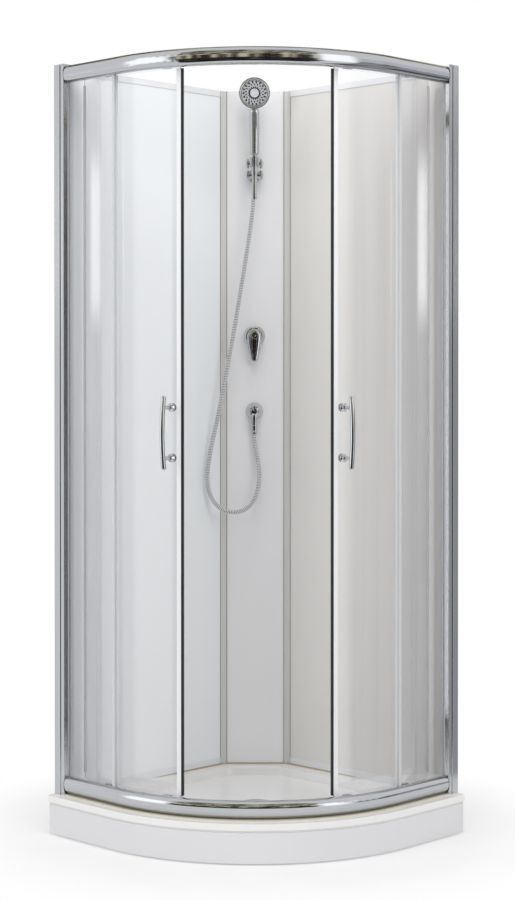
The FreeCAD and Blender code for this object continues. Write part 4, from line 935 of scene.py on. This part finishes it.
class SHOWER_OT_studio(bpy.types.Operator):
    """Sets the camera, the floor, the soft lamps and the surrounding light"""

    bl_idname = "shower.studio"
    bl_label = "Studio"

    def execute(self, context):
        self.place_camera(context.scene)
        self.lay_floor(context.scene)
        self.hang_lamps(context.scene)
        self.surround(context.scene)
        context.scene.view_settings.view_transform = "Standard"
        return {"FINISHED"}

    def place_camera(self, scene):
        eye = bpy.data.cameras.new("camera")
        eye.sensor_fit = "VERTICAL"
        eye.sensor_height = 36.0
        eye.lens = look().studio.lens
        eye.shift_y = EYE_SHIFT
        eye.clip_end = 60.0
        camera = bpy.data.objects.new("camera", eye)
        camera.location = EYE_PLACE
        camera.rotation_euler = (np.pi / 2 + EYE_TILT, 0.0, EYE_TURN)
        scene.collection.objects.link(camera)
        scene.camera = camera

    def lay_floor(self, scene):
        """A disc that is matt to the lamps. To the camera it turns white away from the object, and keeps
        the object's shadow near it."""
        material, tree = new_material("pale studio floor")
        place = add(tree, "TexCoord").outputs["Object"]
        grain = add(tree, "TexNoise", {"Vector": place, "Scale": 6.0, "Detail": 2.0})
        tones = {"Factor": grain, "A": to_linear("#E6E6E6"), "B": to_linear(look().studio.floor)}
        matt_floor = {"Base Color": add(tree, "Mix", tones, data_type="RGBA"), "Roughness": 0.9}
        away = add(tree, "VectorMath", {0: place}, operation="LENGTH").outputs["Value"]
        fade = {"Value": away, "From Min": 0.5, "From Max": 0.95, "To Min": 0.45}
        fade = add(tree, "MapRange", fade, interpolation_type="SMOOTHSTEP")
        matt, mirror = light_paths(tree)
        straight = mask(tree, (matt, 1.0, 0.0), (mirror, 1.0, 0.0))
        seen = {
            0: add(tree, "Math", {0: straight, 1: fade}, operation="MULTIPLY"),
            1: add(tree, "BsdfPrincipled", matt_floor),
            2: add(tree, "Emission", {"Color": (1.0, 1.0, 1.0, 1.0), "Strength": 1.0}),
        }
        add(tree, "OutputMaterial", {"Surface": add(tree, "MixShader", seen)})
        turn = circle(96)
        rim = FLOOR_REACH * np.stack([np.cos(turn), np.sin(turn), 0 * turn], -1)
        mesh = bpy.data.meshes.new("studio_floor")
        mesh.from_pydata(rim.tolist(), [], [tuple(range(len(turn)))])
        mesh.materials.append(material)
        floor = bpy.data.objects.new("studio_floor", mesh)
        scene.collection.objects.link(floor)

    def hang_lamps(self, scene):
        """Three soft discs, each turned from its place to what it lights. Chrome mirrors the surround's own
        lamps instead of them."""
        studio = look().studio
        for name, power, size, place, aim in (
            ("left_lamp", studio.left, 1.5, (-3.6, -2.0, 2.7), (0.0, 0.0, 2.0)),
            ("right_lamp", studio.right, 1.5, (2.4, -3.4, 2.7), (0.0, 0.0, 2.0)),
            ("top_lamp", studio.top, 2.2, (0.2, -1.6, 4.2), (0.0, 0.2, 2.0)),
        ):
            lamp = bpy.data.lights.new(name, "AREA")
            lamp.energy = power
            lamp.shape = "DISK"
            lamp.size = size
            holder = bpy.data.objects.new(name, lamp)
            holder.location = place
            holder.visible_camera = holder.visible_glossy = holder.visible_transmission = False
            x, y, z = np.array(aim) - np.array(place)
            holder.rotation_euler = (np.arctan2(np.hypot(x, y), -z), 0, np.arctan2(y, x) - np.pi / 2)
            scene.collection.objects.link(holder)

    def surround(self, scene):
        """White to the camera, soft light to matt surfaces, and a plain room to chrome. Its zones lie by the
        angle round the object, 0 in front and positive to the right, and the rise, -1 below to 1 above."""
        studio = look().studio
        world = bpy.data.worlds.new("studio")
        scene.world = world
        world.use_nodes = True
        tree = world.node_tree
        tree.nodes.clear()
        where = add(tree, "TexCoord").outputs["Generated"]
        split = add(tree, "SeparateXYZ", {"Vector": where})
        rise = split.outputs["Z"]
        back = add(tree, "Math", {0: split.outputs["Y"], 1: -1.0}, operation="MULTIPLY")
        turn = add(tree, "Math", {0: split.outputs["X"], 1: back}, operation="ARCTAN2")
        behind = add(tree, "Math", {0: turn}, operation="ABSOLUTE")
        stretched = add(tree, "Mapping", {"Vector": where, "Scale": (13.0, 13.0, 5.0)})
        clutter = add(tree, "TexNoise", {"Vector": stretched, "Scale": 1.0, "Detail": 3.0})
        haze = add(tree, "TexNoise", {"Vector": stretched, "Scale": 0.4, "Detail": 2.0})
        hazy = mask(tree, (haze, 0.54, 0.70))
        tones = {"Factor": hazy, "A": to_linear(studio.room), "B": to_linear("#7C7773")}
        room = add(tree, "Mix", tones, data_type="RGBA")
        patches = mask(tree, (clutter, 0.50, 0.56), (rise, 0.0, 0.15))
        tones = {"Factor": patches, "A": room, "B": to_linear(studio.windows)}
        room = add(tree, "Mix", tones, data_type="RGBA")
        hazy = mask(tree, (haze, 0.35, 0.6))
        tones = {"Factor": hazy, "A": to_linear("#3B3938"), "B": to_linear("#A5A5AA")}
        shade = add(tree, "Mix", tones, data_type="RGBA")
        level = band(rise, -0.80, 0.88, 0.06)
        zones = [
            ((*band(turn, 1.15, 2.1, 0.1), (rise, 0.2, 0.08)), shade),  # low on the right
            ((*level, *band(turn, -0.95, 0.66, 0.12)), room),  # in front
            ((*level, (behind, 2.25, 2.4)), room),  # at the back
        ]
        for start, end in ((-1.42, -1.0), (0.72, 1.0)):  # the soft lamps on the left and right
            zones.append(((*band(turn, start, end, 0.12), *band(rise, -0.2, 0.4, 0.15)), LAMP_GLOW))
        for middle in (-1.6485, 1.668):  # the thin strips that light a line down each door's pane
            strip = band(turn, middle - 0.001, middle + 0.001, 0.003)
            zones.append(((*strip, *band(rise, 0.05, 0.1, 0.03)), STRIP_GLOW))
        mirrored = PALE_WALLS
        for steps, colour in zones:
            tones = {"Factor": mask(tree, *steps), "A": mirrored, "B": colour}
            mirrored = add(tree, "Mix", tones, data_type="RGBA")
        matt, mirror = light_paths(tree)
        seen = {
            0: mirror,
            1: add(tree, "Background", {"Color": (1.0, 1.0, 1.0, 1.0), "Strength": 1.0}),
            2: add(tree, "Background", {"Color": mirrored, "Strength": 1.0}),
        }
        seen = {
            0: matt,
            1: add(tree, "MixShader", seen),
            2: add(tree, "Background", {"Color": (1.0, 1.0, 1.0, 1.0), "Strength": studio.sky}),
        }
        add(tree, "OutputWorld", {"Surface": add(tree, "MixShader", seen)})


class SHOWER_PT_looks(bpy.types.Panel):
    """Lists the settings and the steps"""

    bl_idname = "SHOWER_PT_looks"
    bl_label = "Shower Looks"
    bl_space_type = "VIEW_3D"
    bl_region_type = "UI"
    bl_category = "Shower"

    def draw(self, context):
        for step in STEPS:
            self.layout.operator(step.bl_idname)
        for group in ("tray", "metal", "glass", "lining", "hose", "spray", "studio"):
            box = self.layout.box()
            box.label(text=group.capitalize())
            settings = getattr(look(), group)
            for prop in settings.bl_rna.properties:
                if prop.identifier not in ("rna_type", "name"):
                    box.prop(settings, prop.identifier)


GROUPS = (TrayLook, FrameLook, GlassLook, LiningLook, HoseSizes, SpraySizes, StudioLook, ShowerLook)
STEPS = (
    SHOWER_OT_studio,
    SHOWER_OT_hose,
    SHOWER_OT_tray,
    SHOWER_OT_waste,
    SHOWER_OT_underframe,
    SHOWER_OT_frame,
    SHOWER_OT_glass,
    SHOWER_OT_seals,
    SHOWER_OT_doors,
    SHOWER_OT_lining,
    SHOWER_OT_fittings,
    SHOWER_OT_lever,
    SHOWER_OT_sealant,
    SHOWER_OT_knobs,
    SHOWER_OT_spray,
)


def register():
    for cls in (*GROUPS, *STEPS, SHOWER_PT_looks):
        bpy.utils.register_class(cls)
    bpy.types.Scene.shower_look = PointerProperty(type=ShowerLook)


def unregister():
    del bpy.types.Scene.shower_look
    for cls in reversed((*GROUPS, *STEPS, SHOWER_PT_looks)):
        bpy.utils.unregister_class(cls)


def main():
    register()
    for step in STEPS:
        getattr(bpy.ops.shower, step.bl_idname.split(".")[1])()


if __name__ == "__main__":
    main()
